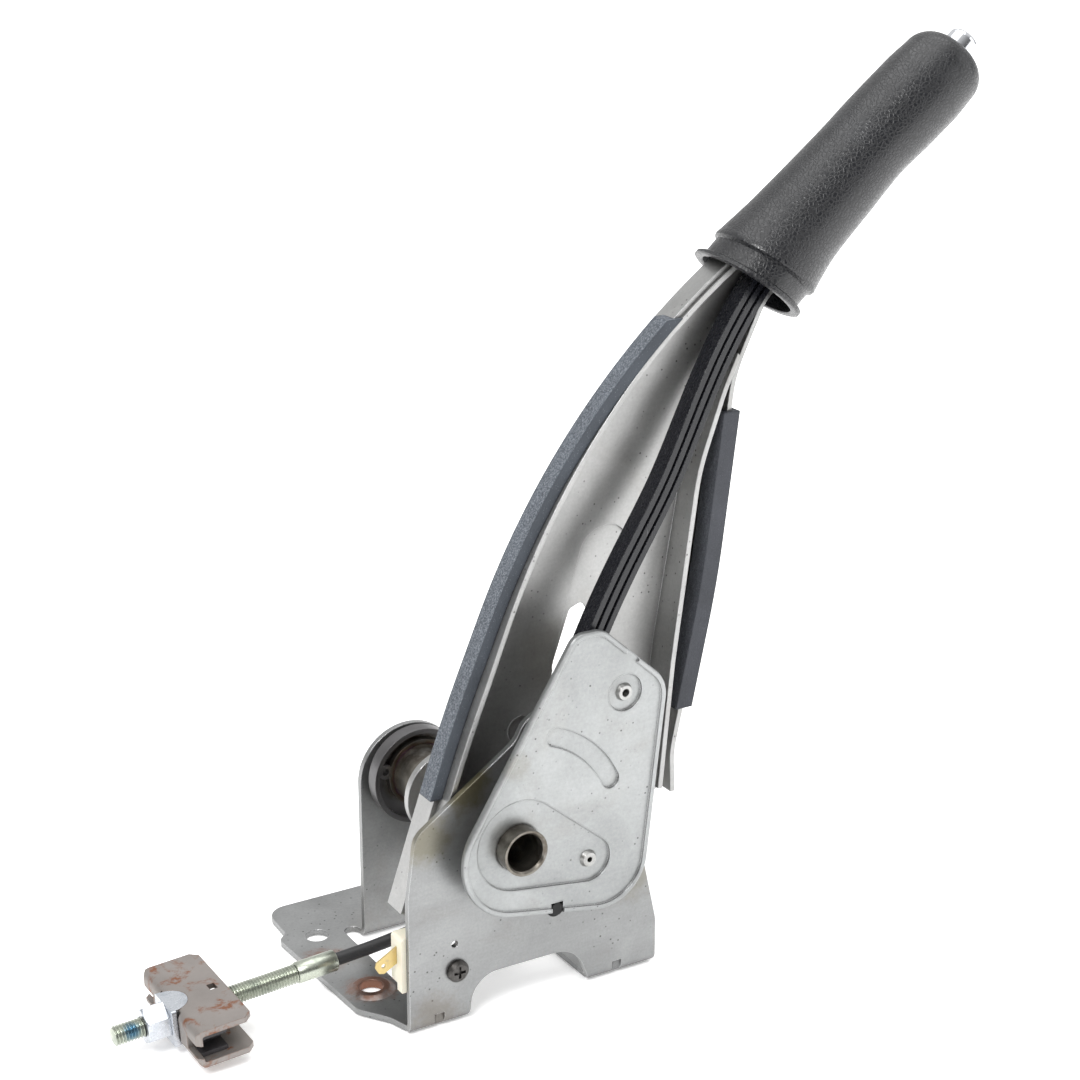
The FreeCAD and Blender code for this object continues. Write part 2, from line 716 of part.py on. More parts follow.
def make_inner_channel():
    """Inner pressing of the lever, with the guide pocket, the window and the tooling hole."""
    bottom = [(76.5, -9.5, 6), (36.0, -27.0, 20), (0, -31.0, 25), (-30.0, -16.0, 12)]
    body = channel(inner_left_line(), inner_right_line(), bottom, INNER_WEB_FRONT, INNER_EDGE, LEVER_SHEET)
    body = body.cut(slanted_front(INNER_EDGE, INNER_EDGE_TOP, 60, 186))
    lower = Part.makeBox(110, 30, 60, Vec(-45, INNER_EDGE - 1, -62))
    legs_foot = lower.cut(Part.makeBox(140, 40, 80, Vec(-60, INNER_WEB_FRONT, -70)))
    body = body.cut(legs_foot)
    corner = grip_point(-32, 1.0)
    rod_room = Part.makeBox(60, 20, 30, Vec(corner[0], INNER_WEB_FRONT - 20, corner[1] - 30))
    rod_room.rotate(Vec(corner[0], 0, corner[1]), AXIS_Y, -GRIP_ANGLE)
    body = body.cut(rod_room)
    pocket = [
        (60.0, 112.0, 9),
        (46.5, 109.5, 11),
        (38.8, 84.0, 30),
        (31.0, 54.0, 3),
        (50.0, 54.0, 3),
        (67.5, 104.0, 9),
    ]
    floor = side_plate(pocket, INNER_WEB_FRONT - 1, 1 + POCKET_DEPTH)
    body = body.cut(floor)
    window = [(45.9, 81.2, 2), (40.4, 79.2, 2.4), (31.0, 52.5, 2.4), (37.2, 50.0, 2.4), (48.8, 76.8, 2.4)]
    body = body.cut(side_plate(window, INNER_WEB_FRONT - 1, LEVER_SHEET + 2))
    body = body.cut(rod_y(TOOLING_HOLE, 17.6, 34.0, INNER_WEB_FRONT - 1, LEVER_SHEET + 2))
    for x, z, radius in lever_pin_holes():
        body = body.cut(rod_y(radius + SEAT, x, z, INNER_WEB_FRONT - 1, LEVER_SHEET + 2))
    body = body.cut(rod_y(TUBE_RADIUS + RUNNING_FIT, 0, 0, INNER_WEB_FRONT - 1, LEVER_SHEET + 2))
    return body.removeSplitter()


def lever_pin_holes():
    """Holes (x, z, radius) in the inner web for the pawl's pin and the stop pin."""
    return [(PAWL_PIN_X, PAWL_PIN_Z, PAWL_PIN_TAIL), (STOP_PIN_X, STOP_PIN_Z, STOP_PIN_NECK)]


def outer_web_front():
    """Front face of the outer channel's web, just behind the inner one."""
    return INNER_WEB_FRONT + LEVER_SHEET + SEAT


def make_outer_channel():
    """Outer pressing of the lever, whose legs carry the trim strips."""
    bottom = [(40.0, -33.0, 30), (0, -36.0, 20), (-22.0, -34.5, 10)]
    front = outer_web_front()
    body = channel(outer_left_line(), outer_right_line(), bottom, front, OUTER_EDGE, LEVER_SHEET)
    window = [(46.5, 83.0, 3), (39.6, 80.5, 3), (29.5, 50.5, 3), (38.5, 48.5, 3), (50.2, 77.0, 3)]
    body = body.cut(side_plate(window, front - 1, LEVER_SHEET + 2))
    for x, z, _ in lever_pin_holes():
        body = body.cut(rod_y(5.0, x, z, front - 1, LEVER_SHEET + 2))
    body = body.cut(rod_y(TUBE_RADIUS + RUNNING_FIT, 0, 0, front - 1, LEVER_SHEET + 2))
    return body.removeSplitter()


def height_band(z_low, z_high):
    """Solid that keeps what lies between two heights."""
    return Part.makeBox(400, 120, z_high - z_low, Vec(-150, -80, z_low))


def trim(line, sign, z_low, z_high):
    """Soft strip on the outside of one leg, folded over the leg's edge."""
    front = OUTER_EDGE - TRIM_THICKNESS + 0.7
    outside = shifted(line, -TRIM_THICKNESS)
    wrap = ribbon(outside, TRIM_THICKNESS - SEAT, front, TRIM_DEPTH)
    reach = LEVER_SHEET - 0.1 if sign > 0 else LEVER_SHEET + TRIM_THICKNESS
    lip = ribbon(outside, TRIM_THICKNESS + reach, front, OUTER_EDGE - front - SEAT)
    strip = wrap.fuse(lip)
    if sign < 0:
        inside = ribbon(shifted(line, LEVER_SHEET + SEAT), TRIM_THICKNESS - SEAT, front, TRIM_DEPTH)
        strip = strip.fuse(inside)
    return strip.common(height_band(z_low, z_high)).removeSplitter()


def make_left_trim():
    """Strip on the front leg, in view over its whole length."""
    return trim(outer_left_line()[:4], 1, 17.5, 191.0)


def make_right_trim():
    """Strip that wraps the rear leg's edge on both sides."""
    return trim(outer_right_line()[2:], -1, 31.0, 151.0)


def cover_outline():
    """Side view of the cover."""
    return [
        (24.0, 81.7, 7),
        (36.6, 81.7, 9),
        (66.0, 55.3, 14),
        (55.0, -39.0, 20),
        (-39.9, -21.3, 25),
    ]


def inset_outline(corners, distance):
    """The same closed outline, moved inwards."""
    count = len(corners)
    loop = [corners[-1]] + list(corners) + [corners[0]]
    return shifted(loop, distance)[1:count + 1]


def cover_sinks(grow, y_start, depth):
    """Sunk areas of the cover: round the pivot and stop pin, along the quadrant, and at the pawl's pin."""
    return [
        strap(0.6, 0.8, 18.6 + grow, STOP_PIN_X, STOP_PIN_Z, 9.5 + grow, y_start, depth),
        arc_slot(45.0, 3.9 + grow, 25, 69, y_start, depth),
        rod_y(7.6 + grow, PAWL_PIN_X, PAWL_PIN_Z, y_start, depth),
    ]


def make_cover():
    """Pressed cover of the ratchet: a plate with a raised lip all round and three sunk areas."""
    outline = cover_outline()
    lip_front = COVER_FRONT - COVER_LIP
    body = side_plate(outline, lip_front, COVER_LIP + COVER_SHEET)
    rim = [edge for edge in body.Edges if abs(edge.BoundBox.YMax - lip_front) < 0.01]
    body = body.makeFillet(0.9, rim)
    tray = side_plate(inset_outline(outline, COVER_LIP_WIDTH), lip_front - 1, COVER_LIP + 1)
    body = body.cut(tray)
    for back in cover_sinks(COVER_SHEET, COVER_FRONT + COVER_SHEET, COVER_RECESS):
        body = body.fuse(back)
    sunk = cover_sinks(0, COVER_FRONT - 1, COVER_RECESS + 1)
    for sink in sunk:
        body = body.cut(sink)
    notch_corner = Vec(NOTCH_X - NOTCH_WIDTH / 2, lip_front - 1, NOTCH_TOP - 10.0)
    notch = Part.makeBox(NOTCH_WIDTH, 6.0, 10.0, notch_corner)
    step = Part.makeBox(5.6, COVER_LIP + 1, 6.0, Vec(47.0, lip_front - 1, 65.8))
    body = body.cut(notch.fuse(step))
    body = body.cut(rod_y(TUBE_RADIUS + RUNNING_FIT, 0, 0, COVER_FRONT - 1, 12))
    body = body.cut(rod_y(PAWL_PIN_NECK + SEAT, PAWL_PIN_X, PAWL_PIN_Z, COVER_FRONT - 1, 8))
    body = body.cut(rod_y(STOP_PIN_NECK + SEAT, STOP_PIN_X, STOP_PIN_Z, COVER_FRONT - 1, 8))
    return body


def make_bumper():
    """Rubber buffer behind the cover, with a plug that fills the notch in its lower edge."""
    centre = NOTCH_TOP - NOTCH_WIDTH / 2 - 0.2
    base = rod_y(BUMPER_RADIUS, NOTCH_X, centre, COVER_FRONT + COVER_SHEET + SEAT, 6.0)
    plug = rod_y(NOTCH_WIDTH / 2 - 0.1, NOTCH_X, centre, COVER_FRONT, COVER_SHEET + 1.0)
    return base.fuse(plug)


def cover_seat():
    """Inner face of the cover's sunk pads."""
    return COVER_FRONT + COVER_RECESS + COVER_SHEET


def stepped_pin(x, z, radius, near_neck, far_neck, flange):
    """Shouldered pin between the cover and the inner web, closed over at both ends."""
    shoulder = rod_y(radius, x, z, cover_seat(), INNER_WEB_FRONT - cover_seat())
    near = rod_y(near_neck, x, z, COVER_FRONT + COVER_RECESS - 1.6, COVER_SHEET + 1.6)
    far = rod_y(far_neck, x, z, INNER_WEB_FRONT, LEVER_SHEET)
    head = near_neck + flange
    cap = Part.makeCone(head - 0.8, head, 1.6, Vec(x, COVER_FRONT + COVER_RECESS - 1.6, z), AXIS_Y)
    tail = rod_y(far_neck + 1.4, x, z, INNER_WEB_FRONT + LEVER_SHEET, 1.4)
    return shoulder.fuse([near, far, cap, tail])


def make_pawl_pin():
    """Pin that carries the pawl, with a hollow near end."""
    pin = stepped_pin(PAWL_PIN_X, PAWL_PIN_Z, PAWL_PIN_RADIUS, PAWL_PIN_NECK, PAWL_PIN_TAIL, 0.9)
    socket = rod_y(1.6, PAWL_PIN_X, PAWL_PIN_Z, COVER_FRONT + COVER_RECESS - 2, 4.0)
    return pin.cut(socket)


def make_stop_pin():
    """Pin that runs in the near plate's curved slot and ends the lever's travel."""
    pin = stepped_pin(STOP_PIN_X, STOP_PIN_Z, STOP_PIN_RADIUS, STOP_PIN_NECK, STOP_PIN_NECK, 1.2)
    socket = rod_y(1.1, STOP_PIN_X, STOP_PIN_Z, COVER_FRONT + COVER_RECESS - 2, 3.0)
    return pin.cut(socket)


def sleeve_start():
    """Near end of the sleeve, against the outer channel's web."""
    return outer_web_front() + LEVER_SHEET


def sleeve_end():
    """Far end of the sleeve, short of the far plate."""
    return FAR_INSIDE - WASHER_SHEET - 0.2


def make_sleeve():
    """Long bearing sleeve of the lever on the pivot tube."""
    outer = TUBE_RADIUS + SLEEVE_WALL
    return ring_y(outer, TUBE_RADIUS + RUNNING_FIT, 0, 0, sleeve_start(), sleeve_end() - sleeve_start())


def make_end_disc():
    """Dished disc welded to the sleeve near the far plate, set a little low and forward."""
    start = DISC_START
    hollow = DISC_DEPTH - DISC_SHEET
    sleeve = rod_y(TUBE_RADIUS + SLEEVE_WALL + SEAT, 0, 0, start - 1, DISC_DEPTH + 2)
    disc = rod_y(DISC_RADIUS, DISC_X, DISC_Z, start, DISC_DEPTH).cut(sleeve)
    dish = rod_y(DISC_RADIUS - DISC_SHEET, DISC_X, DISC_Z, start - 1, hollow + 1)
    keep = rod_y(TUBE_RADIUS + SLEEVE_WALL + DISC_SHEET, 0, 0, start - 1, hollow + 1)
    disc = disc.cut(dish.cut(keep))
    boss_x = DISC_X - DISC_RADIUS + DISC_SHEET + DISC_BOSS
    boss_z = DISC_Z + 5.0
    disc = disc.fuse(rod_y(DISC_BOSS, boss_x, boss_z, start, DISC_DEPTH))
    return disc.cut(rod_y(DISC_BOSS / 2, boss_x, boss_z, start - 1, DISC_DEPTH + 2)).cut(sleeve)


def cable_pin_place():
    """Centre (x, z) of the cable's pin below the pivot."""
    return polar(ARM_RADIUS, ARM_ANGLE)


def make_cable_arm():
    """Two cheeks that hang from the sleeve and carry the cable's pin."""
    x, z = cable_pin_place()
    cheeks = []
    for start in (-ARM_GAP / 2 - ARM_SHEET, ARM_GAP / 2):
        cheek = strap(0, 0, TUBE_RADIUS + 9, x, z, CABLE_PIN_RADIUS + 4.5, start, ARM_SHEET)
        cheek = cheek.cut(rod_y(TUBE_RADIUS + SLEEVE_WALL + SEAT, 0, 0, start - 1, ARM_SHEET + 2))
        cheeks.append(cheek.cut(rod_y(CABLE_PIN_RADIUS + SEAT, x, z, start - 1, ARM_SHEET + 2)))
    return Part.makeCompound(cheeks)


def make_cable_pin():
    """Headed pin through both cheeks."""
    x, z = cable_pin_place()
    reach = ARM_GAP / 2 + ARM_SHEET
    pin = rod_y(CABLE_PIN_RADIUS, x, z, -reach, 2 * reach + 1.0)
    return pin.fuse(rod_y(CABLE_PIN_RADIUS + PIN_HEAD, x, z, -reach - PIN_HEAD_HEIGHT, PIN_HEAD_HEIGHT))


def stud_point(s):
    """Point on the stud's axis at s from its tip."""
    turn = math.radians(STUD_TILT)
    return Vec(STUD_TIP_X + s * math.cos(turn), 0, STUD_TIP_Z + s * math.sin(turn))


def stud_direction():
    """Direction of the stud from its tip towards the lever."""
    return stud_point(1) - stud_point(0)


def make_stud():
    """Threaded stud with its swaged ferrule. The thread is plain here."""
    direction = stud_direction()
    thread = Part.makeCylinder(STUD_RADIUS, STUD_LENGTH - 1, stud_point(1), direction)
    tip = Part.makeCone(STUD_RADIUS - STUD_CHAMFER, STUD_RADIUS, 1, stud_point(0), direction)
    ferrule = Part.makeCylinder(FERRULE_RADIUS, FERRULE_LENGTH, stud_point(STUD_LENGTH), direction)
    bottom = stud_point(STUD_LENGTH + FERRULE_LENGTH - FERRULE_SOCKET)
    socket = Part.makeCylinder(CABLE_RADIUS + SEAT, FERRULE_SOCKET + 1, bottom, direction)
    return thread.fuse([tip, ferrule]).cut(socket)


def cable_route():
    """Straight run out of the ferrule, one arc, and a straight run to the eye."""
    x, z = cable_pin_place()
    start = stud_point(STUD_LENGTH + FERRULE_LENGTH - FERRULE_SOCKET + SEAT)
    bend = stud_point(STUD_LENGTH + FERRULE_LENGTH + CABLE_STRAIGHT)
    eye = Vec(x, 0, z)
    toward = (eye - bend).normalize()
    end = eye - toward * (CABLE_PIN_RADIUS + EYE_WALL + 1.2)
    return start, bend, end, toward


def make_cable():
    """Plastic covered cable between the ferrule and the eye."""
    start, bend, end, toward = cable_route()
    back = (start - bend).normalize()
    reach = min((start - bend).Length, (end - bend).Length) * 0.45
    half = back.getAngle(toward) / 2
    radius = reach * math.tan(half)
    centre_way = (back + toward).normalize()
    centre = bend + centre_way * (radius / math.sin(half))
    first = bend + back * reach
    second = bend + toward * reach
    path = Part.Wire([
        Part.LineSegment(start, first).toShape(),
        Part.Arc(first, centre - centre_way * radius, second).toShape(),
        Part.LineSegment(second, end).toShape(),
    ])
    section = Part.Wire(Part.makeCircle(CABLE_RADIUS, start, stud_direction()))
    return path.makePipeShell([section], True, False)


def make_cable_eye():
    """Swaged eye that turns on the cable's pin."""
    x, z = cable_pin_place()
    width = ARM_GAP - 1.0
    _, _, end, toward = cable_route()
    eye = rod_y(CABLE_PIN_RADIUS + EYE_WALL, x, z, -width / 2, width)
    shank_start = end - toward * EYE_SOCKET
    shank = Part.makeCylinder(CABLE_RADIUS + EYE_SHANK_WALL, EYE_SOCKET + EYE_WALL + 2, shank_start, toward)
    socket = Part.makeCylinder(CABLE_RADIUS + SEAT, EYE_SOCKET, shank_start, toward)
    return eye.fuse(shank).cut(socket).cut(rod_y(CABLE_PIN_RADIUS + RUNNING_FIT / 2, x, z, -width, 2 * width))


def on_stud(shape, s, drop=0.0):
    """Moves a shape that was built along +X from the origin onto the stud at s."""
    placed = shape.copy()
    placed.translate(Vec(0, 0, -drop))
    placed.rotate(Vec(0, 0, 0), AXIS_Y, -STUD_TILT)
    placed.translate(stud_point(s))
    return placed


def make_nut():
    """Hexagon adjusting nut with chamfered corners."""
    radius = NUT_FLATS / 2 / math.cos(math.pi / 6)
    points = []
    for index in range(7):
        turn = math.pi / 3 * index + math.pi / 6
        points.append(Vec(0, radius * math.cos(turn), radius * math.sin(turn)))
    hexagon = Part.Face(Part.makePolygon(points)).extrude(Vec(NUT_THICKNESS, 0, 0))
    small = radius - NUT_CHAMFER
    bevel = Part.makeCone(small, small + NUT_THICKNESS, NUT_THICKNESS, Vec(0, 0, 0), Vec(1, 0, 0))
    bore = Part.makeCylinder(STUD_RADIUS + THREAD_FIT, NUT_THICKNESS + 4, Vec(-1, 0, 0), Vec(1, 0, 0))
    return on_stud(hexagon.common(bevel).cut(bore), NUT_PLACE)


def saddle_place():
    """Distance from the stud's tip to the saddle's seat against the nut."""
    return NUT_PLACE + NUT_THICKNESS + SEAT


def make_saddle():
    """Saddle against the nut, with a half round back on which the equalizer rocks."""
    height = EQUALIZER_HEIGHT
    plate = Part.makeBox(SADDLE_PLATE, 2 * SADDLE_HALF, height, Vec(0, -SADDLE_HALF, -height / 2))
    corners = [edge for edge in plate.Edges if edge.BoundBox.XLength > SADDLE_PLATE - 0.01]
    plate = plate.makeFillet(1.0, corners)
    back = Part.makeCylinder(SADDLE_RADIUS, height, Vec(SADDLE_PLATE, 0, -height / 2))
    back = back.common(Part.makeBox(20, 20, height, Vec(SADDLE_PLATE, -10, -height / 2)))
    bore = Part.makeCylinder(STUD_RADIUS + THREAD_FIT, 30, Vec(-5, 0, 0), Vec(1, 0, 0))
    bore.translate(Vec(0, 0, EQUALIZER_DROP))
    return on_stud(plate.fuse(back).cut(bore), saddle_place(), EQUALIZER_DROP)


def cable_slot(start, depth, end, width):
    """Slot for one rear cable, open towards its end of the bar, as the solid to cut."""
    inner = CABLE_SEAT_OFFSET - CABLE_SLOT_SIDE
    low = inner if end > 0 else -inner - width
    return Part.makeBox(depth, width, CABLE_SLOT, Vec(start, low, -CABLE_SLOT_DROP))


def front_folds(shape, x):
    """Long edges of a bar at its front face, where its sheet folds."""
    front = [edge for edge in shape.Edges if edge.BoundBox.XMax < x + 0.01]
    return [edge for edge in front if edge.BoundBox.YLength > 1]


def make_equalizer():
    """Bar folded to a channel, open towards the lever, with a seat for a rear cable at each end."""
    half = EQUALIZER_LENGTH / 2
    height = EQUALIZER_HEIGHT
    sheet = EQUALIZER_SHEET
    start = SADDLE_PLATE
    outer = Part.makeBox(EQUALIZER_WIDTH, EQUALIZER_LENGTH, height, Vec(start, -half, -height / 2))
    outer = outer.makeFillet(EQUALIZER_FOLD, front_folds(outer, start))
    inner = Part.makeBox(EQUALIZER_WIDTH, EQUALIZER_LENGTH + 2, height - 2 * sheet,
                         Vec(start + sheet, -half - 1, -height / 2 + sheet))
    inner = inner.makeFillet(EQUALIZER_FOLD - sheet, front_folds(inner, start + sheet))
    body = outer.cut(inner)
    seat = Part.makeCylinder(SADDLE_RADIUS + ROCK_FIT, 40, Vec(SADDLE_PLATE, 0, -20))
    body = body.cut(seat)
    opening = 2 * (SADDLE_HALF + 1.0)
    rocking = SADDLE_HALF * math.sin(math.radians(EQUALIZER_TILT)) + 0.15
    body = body.cut(Part.makeBox(3 + rocking, opening, 2 * height, Vec(start - 3, -opening / 2, -height)))
    body = body.cut(Part.makeBox(6, opening, height - 2 * sheet - 1, Vec(start - 3, -opening / 2,
                                                                        -height / 2 + sheet + 0.5)))
    for end in (-1, 1):
        body = body.cut(cable_slot(start - 3, 8.0, end, 12.0))
    corner = Part.makeBox(6, 6, 60, Vec(-3, -3, -30))
    corner.rotate(Vec(0, 0, 0), Vec(0, 0, 1), 45)
    for end in (-1, 1):
        cut = corner.copy()
        cut.translate(Vec(start + EQUALIZER_WIDTH + 0.6, end * (half + 0.6), 0))
        body = body.cut(cut)
        edge_round = Part.makeBox(4, 4, 60, Vec(-2, -2, -30))
        edge_round.rotate(Vec(0, 0, 0), Vec(0, 0, 1), 45)
        edge_round.translate(Vec(start - 0.6, end * (half + 0.6), 0))
        body = body.cut(edge_round)
    window = Part.makeBox(3.0, 4.2, 12, Vec(start + 16.6, -2.1, 0))
    return on_stud(body.cut(window), saddle_place(), EQUALIZER_DROP)


def make_equalizer_blocks():
    """Plastic seats inside the equalizer's ends, slotted from outside for the two rear cables."""
    height = EQUALIZER_HEIGHT - 2 * EQUALIZER_SHEET - 2 * SEAT
    start = SADDLE_PLATE + EQUALIZER_SHEET + SEAT
    blocks = []
    for end in (-1, 1):
        middle = end * CABLE_SEAT_OFFSET
        corner = Vec(start, middle - BLOCK_WIDTH / 2, -height / 2)
        block = Part.makeBox(BLOCK_DEPTH, BLOCK_WIDTH, height, corner)
        slot = cable_slot(start - 1, BLOCK_DEPTH + 2, end, BLOCK_WIDTH - 1)
        block = block.makeFillet(1.0, front_folds(block, start)).cut(slot)
        blocks.append(on_stud(block, saddle_place(), EQUALIZER_DROP))
    return Part.makeCompound(blocks)


def grip_ring(u, radius, drop=0.0, tilt=0.0):
    """Circle across the grip's axis, leaning forward by a tilt in degrees."""
    turn = math.radians(GRIP_ANGLE + tilt)
    x, z = grip_point(u, drop)
    return Part.Wire(Part.makeCircle(radius, Vec(x, GRIP_Y, z), Vec(math.cos(turn), 0, math.sin(turn))))


def make_grip():
    """Moulded grip with a finger swell, and a neck with a collar that stand square to the lever."""
    swell = [
        grip_ring(0, MOUTH_RADIUS, 0, MOUTH_TILT),
        grip_ring(20, 19.3, -0.3, MOUTH_TILT / 3),
        grip_ring(45, 18.0, 0.2),
        grip_ring(64, 17.3, 0.4),
        grip_ring(80, 17.7, 1.6),
        grip_ring(95, 17.8, 2.7),
        grip_ring(CAP_START, CAP_RADIUS, BUTTON_DROP),
    ]
    body = Part.makeLoft(swell, True, False)
    cap = [grip_ring(CAP_START, CAP_RADIUS, BUTTON_DROP)]
    for step in range(1, 5):
        turn = math.radians(20 * step)
        u = CAP_START + (GRIP_LENGTH - CAP_START) * math.sin(turn)
        cap.append(grip_ring(u, CAP_RADIUS - CAP_ROUND * (1 - math.cos(turn)), BUTTON_DROP))
    body = body.fuse(Part.makeLoft(cap, True, False))
    lean = math.radians(GRIP_ANGLE + MOUTH_TILT)
    square = Vec(math.cos(lean), 0, math.sin(lean))
    mouth = Vec(GRIP_FOOT_X, GRIP_Y, GRIP_FOOT_Z)
    neck = Part.makeCylinder(NECK_RADIUS, NECK_LENGTH + 2, mouth - square * NECK_LENGTH, square)
    collar_start = mouth - square * (NECK_LENGTH + COLLAR_THICKNESS)
    collar = Part.makeCylinder(COLLAR_RADIUS, COLLAR_THICKNESS, collar_start, square)
    collar = collar.makeFillet(COLLAR_THICKNESS * 0.4, [edge for edge in collar.Edges if edge.Length > 100])
    body = body.fuse([neck, collar])
    inlet = Part.Wire(Part.makeCircle(GRIP_MOUTH_BORE, collar_start - square, square))
    hollow = Part.makeLoft([inlet, grip_ring(GRIP_SEAT, GRIP_SEAT_BORE)], True, False)
    bore = along_grip(GRIP_BORE, GRIP_SEAT - 0.01, CORE_LENGTH + 6)
    hole = along_grip(BUTTON_RADIUS + BUTTON_FIT, GRIP_SEAT, GRIP_LENGTH, BUTTON_DROP)
    return body.cut(hollow).cut(bore).cut(hole)


def along_grip(radius, start, length, drop=0.0):
    """Round bar along the grip, on its axis or below it."""
    turn = math.radians(GRIP_ANGLE)
    x, z = grip_point(start, drop)
    return Part.makeCylinder(radius, length, Vec(x, GRIP_Y, z), Vec(math.cos(turn), 0, math.sin(turn)))


def make_grip_core():
    """Tube inside the grip that sits on the end of the channels and guides the button."""
    outer = GRIP_BORE - SEAT
    start = GRIP_SEAT + SEAT
    hollow = along_grip(outer - CORE_WALL, start - 1, CORE_LENGTH + 2)
    tube = along_grip(outer, start, CORE_LENGTH).cut(hollow)
    guide = along_grip(outer - CORE_WALL + 0.01, start + CORE_LENGTH - 12, 12)
    guide = guide.cut(along_grip(BUTTON_RADIUS + BUTTON_FIT, start, CORE_LENGTH + 2, BUTTON_DROP))
    return tube.fuse(guide)


def make_button():
    """Chromed button with a rounded end."""
    length = GRIP_LENGTH + BUTTON_PROUD - BUTTON_START
    button = along_grip(BUTTON_RADIUS, BUTTON_START, length, BUTTON_DROP)
    ends = [edge for edge in button.Edges if edge.Closed]
    far = max(ends, key=lambda edge: edge.CenterOfMass.x)
    return button.makeFillet(BUTTON_EDGE, [far])


def stem_foot():
    """Lower end of the button's stem, which stays clear of the channels when the button is pressed."""
    return GRIP_SEAT + BUTTON_TRAVEL + STEM_GAP


def make_button_stem():
    """Push rod behind the button, down to the release rod."""
    start = stem_foot()
    stem = along_grip(STEM_RADIUS, start, BUTTON_START - SEAT - start, BUTTON_DROP)
    foot = along_grip(STEM_FOOT_RADIUS, start, 2.5, BUTTON_DROP)
    return stem.fuse(foot)


def rod_section(station, direction, width, depth):
    """Grooved cross-section of the release rod."""
    x, z, y = station
    half = width / 2
    front = -depth / 2
    land = width * 0.28
    groove = width * 0.12
    profile = [
        (-half, front), (-groove - land / 2, front), (-groove - land / 2, front + ROD_GROOVE),
        (-groove, front + ROD_GROOVE), (-groove, front), (groove, front),
        (groove, front + ROD_GROOVE), (groove + land / 2, front + ROD_GROOVE),
        (groove + land / 2, front), (half, front), (half, depth / 2), (-half, depth / 2),
    ]
    points = [Vec(x - direction[1] * u, y + v, z + direction[0] * u) for u, v in profile]
    return Part.makePolygon(points + [points[0]])


def make_release_rod():
    """Bent plastic rod from the button's stem to the pawl's tail."""
    stations = rod_stations()
    wires = []
    for index, station in enumerate(stations):
        before = stations[max(index - 1, 0)]
        after = stations[min(index + 1, len(stations) - 1)]
        if index == len(stations) - 1:
            direction = rod_direction()
        else:
            du = after[0] - before[0]
            dv = after[1] - before[1]
            size = math.hypot(du, dv)
            direction = (du / size, dv / size)
        wires.append(rod_section(station, direction, ROD_WIDTH, ROD_DEPTH))
    return Part.makeLoft(wires, True, False)


def switch_left():
    """Front side of the switch body."""
    return BRACKET_FRONT - SWITCH_FORWARD


def make_switch_body():
    """Plastic switch screwed to the near plate's inner face, with a hollow for its plunger."""
    left = switch_left()
    start = NEAR_INSIDE + SEAT
    corner = Vec(left, start, SWITCH_TOP - SWITCH_HEIGHT)
    body = Part.makeBox(SWITCH_WIDTH, SWITCH_DEPTH, SWITCH_HEIGHT, corner)
    body = body.makeFillet(1.5, [edge for edge in body.Edges if edge.BoundBox.YLength > SWITCH_DEPTH - 0.01])
    ear_corner = Vec(left, start, SCREW_Z - EAR_RADIUS)
    ear = Part.makeBox(SCREW_X + EAR_RADIUS - left, EAR_SHEET, 2 * EAR_RADIUS, ear_corner)
    body = body.fuse(ear)
    plunger_x, plunger_y = plunger_place()
    well = Part.makeCylinder(PLUNGER_RADIUS + 0.15, 8.0, Vec(plunger_x, plunger_y, SWITCH_TOP - 6.0))
    body = body.cut(well)
    body = body.cut(rod_y(SCREW_RADIUS + SEAT, SCREW_X, SCREW_Z, start - 1, 8.0))
    inward = BLADE_IN + 0.1
    slot = tilted_blade(inward + 3, BLADE_SHEET + 0.1, BLADE_WIDTH + 0.2, -inward, BLADE_DEPTH - 0.05)
    return body.cut(slot).removeSplitter()


def tilted_blade(length, thickness, height, inward, behind):
    """Flat bar that slants down out of the switch, starting inward from its front side."""
    left = switch_left()
    middle = SWITCH_TOP - BLADE_DROP
    corner = Vec(left - inward - length, NEAR_INSIDE + SEAT + behind, middle - height / 2)
    bar = Part.makeBox(length, thickness, height, corner)
    bar.rotate(Vec(left, 0, middle), AXIS_Y, -BLADE_TILT)
    return bar


def plunger_place():
    """Centre (x, y) of the switch plunger."""
    return switch_left() + SWITCH_WIDTH - 5.0, NEAR_INSIDE + SWITCH_DEPTH / 2 + 0.5


def make_switch_plunger():
    """Plunger that the lowered lever presses."""
    x, y = plunger_place()
    stem = Part.makeCylinder(PLUNGER_RADIUS, 6.0, Vec(x, y, SWITCH_TOP - 3.2))
    upper = [edge for edge in stem.Edges if edge.Closed and edge.CenterOfMass.z > SWITCH_TOP]
    return stem.makeFillet(0.9, upper)


def make_switch_terminal():
    """Flat blade terminal with a hole and cut corners."""
    blade = tilted_blade(BLADE_OUT + BLADE_IN, BLADE_SHEET, BLADE_WIDTH, -BLADE_IN, BLADE_DEPTH)
    run = math.cos(math.radians(BLADE_TILT))
    fall = math.sin(math.radians(BLADE_TILT))
    across = [edge for edge in blade.Edges if edge.BoundBox.YLength > BLADE_SHEET - 0.1]
    tip = sorted(across, key=lambda edge: edge.CenterOfMass.x * run + edge.CenterOfMass.z * fall)[:2]
    blade = blade.makeChamfer(1.6, tip)
    reach = BLADE_OUT - BLADE_WIDTH / 2
    hole_x = switch_left() - reach * run
    hole_z = SWITCH_TOP - BLADE_DROP - reach * fall
    return blade.cut(rod_y(0.9, hole_x, hole_z, NEAR_INSIDE, SWITCH_DEPTH))


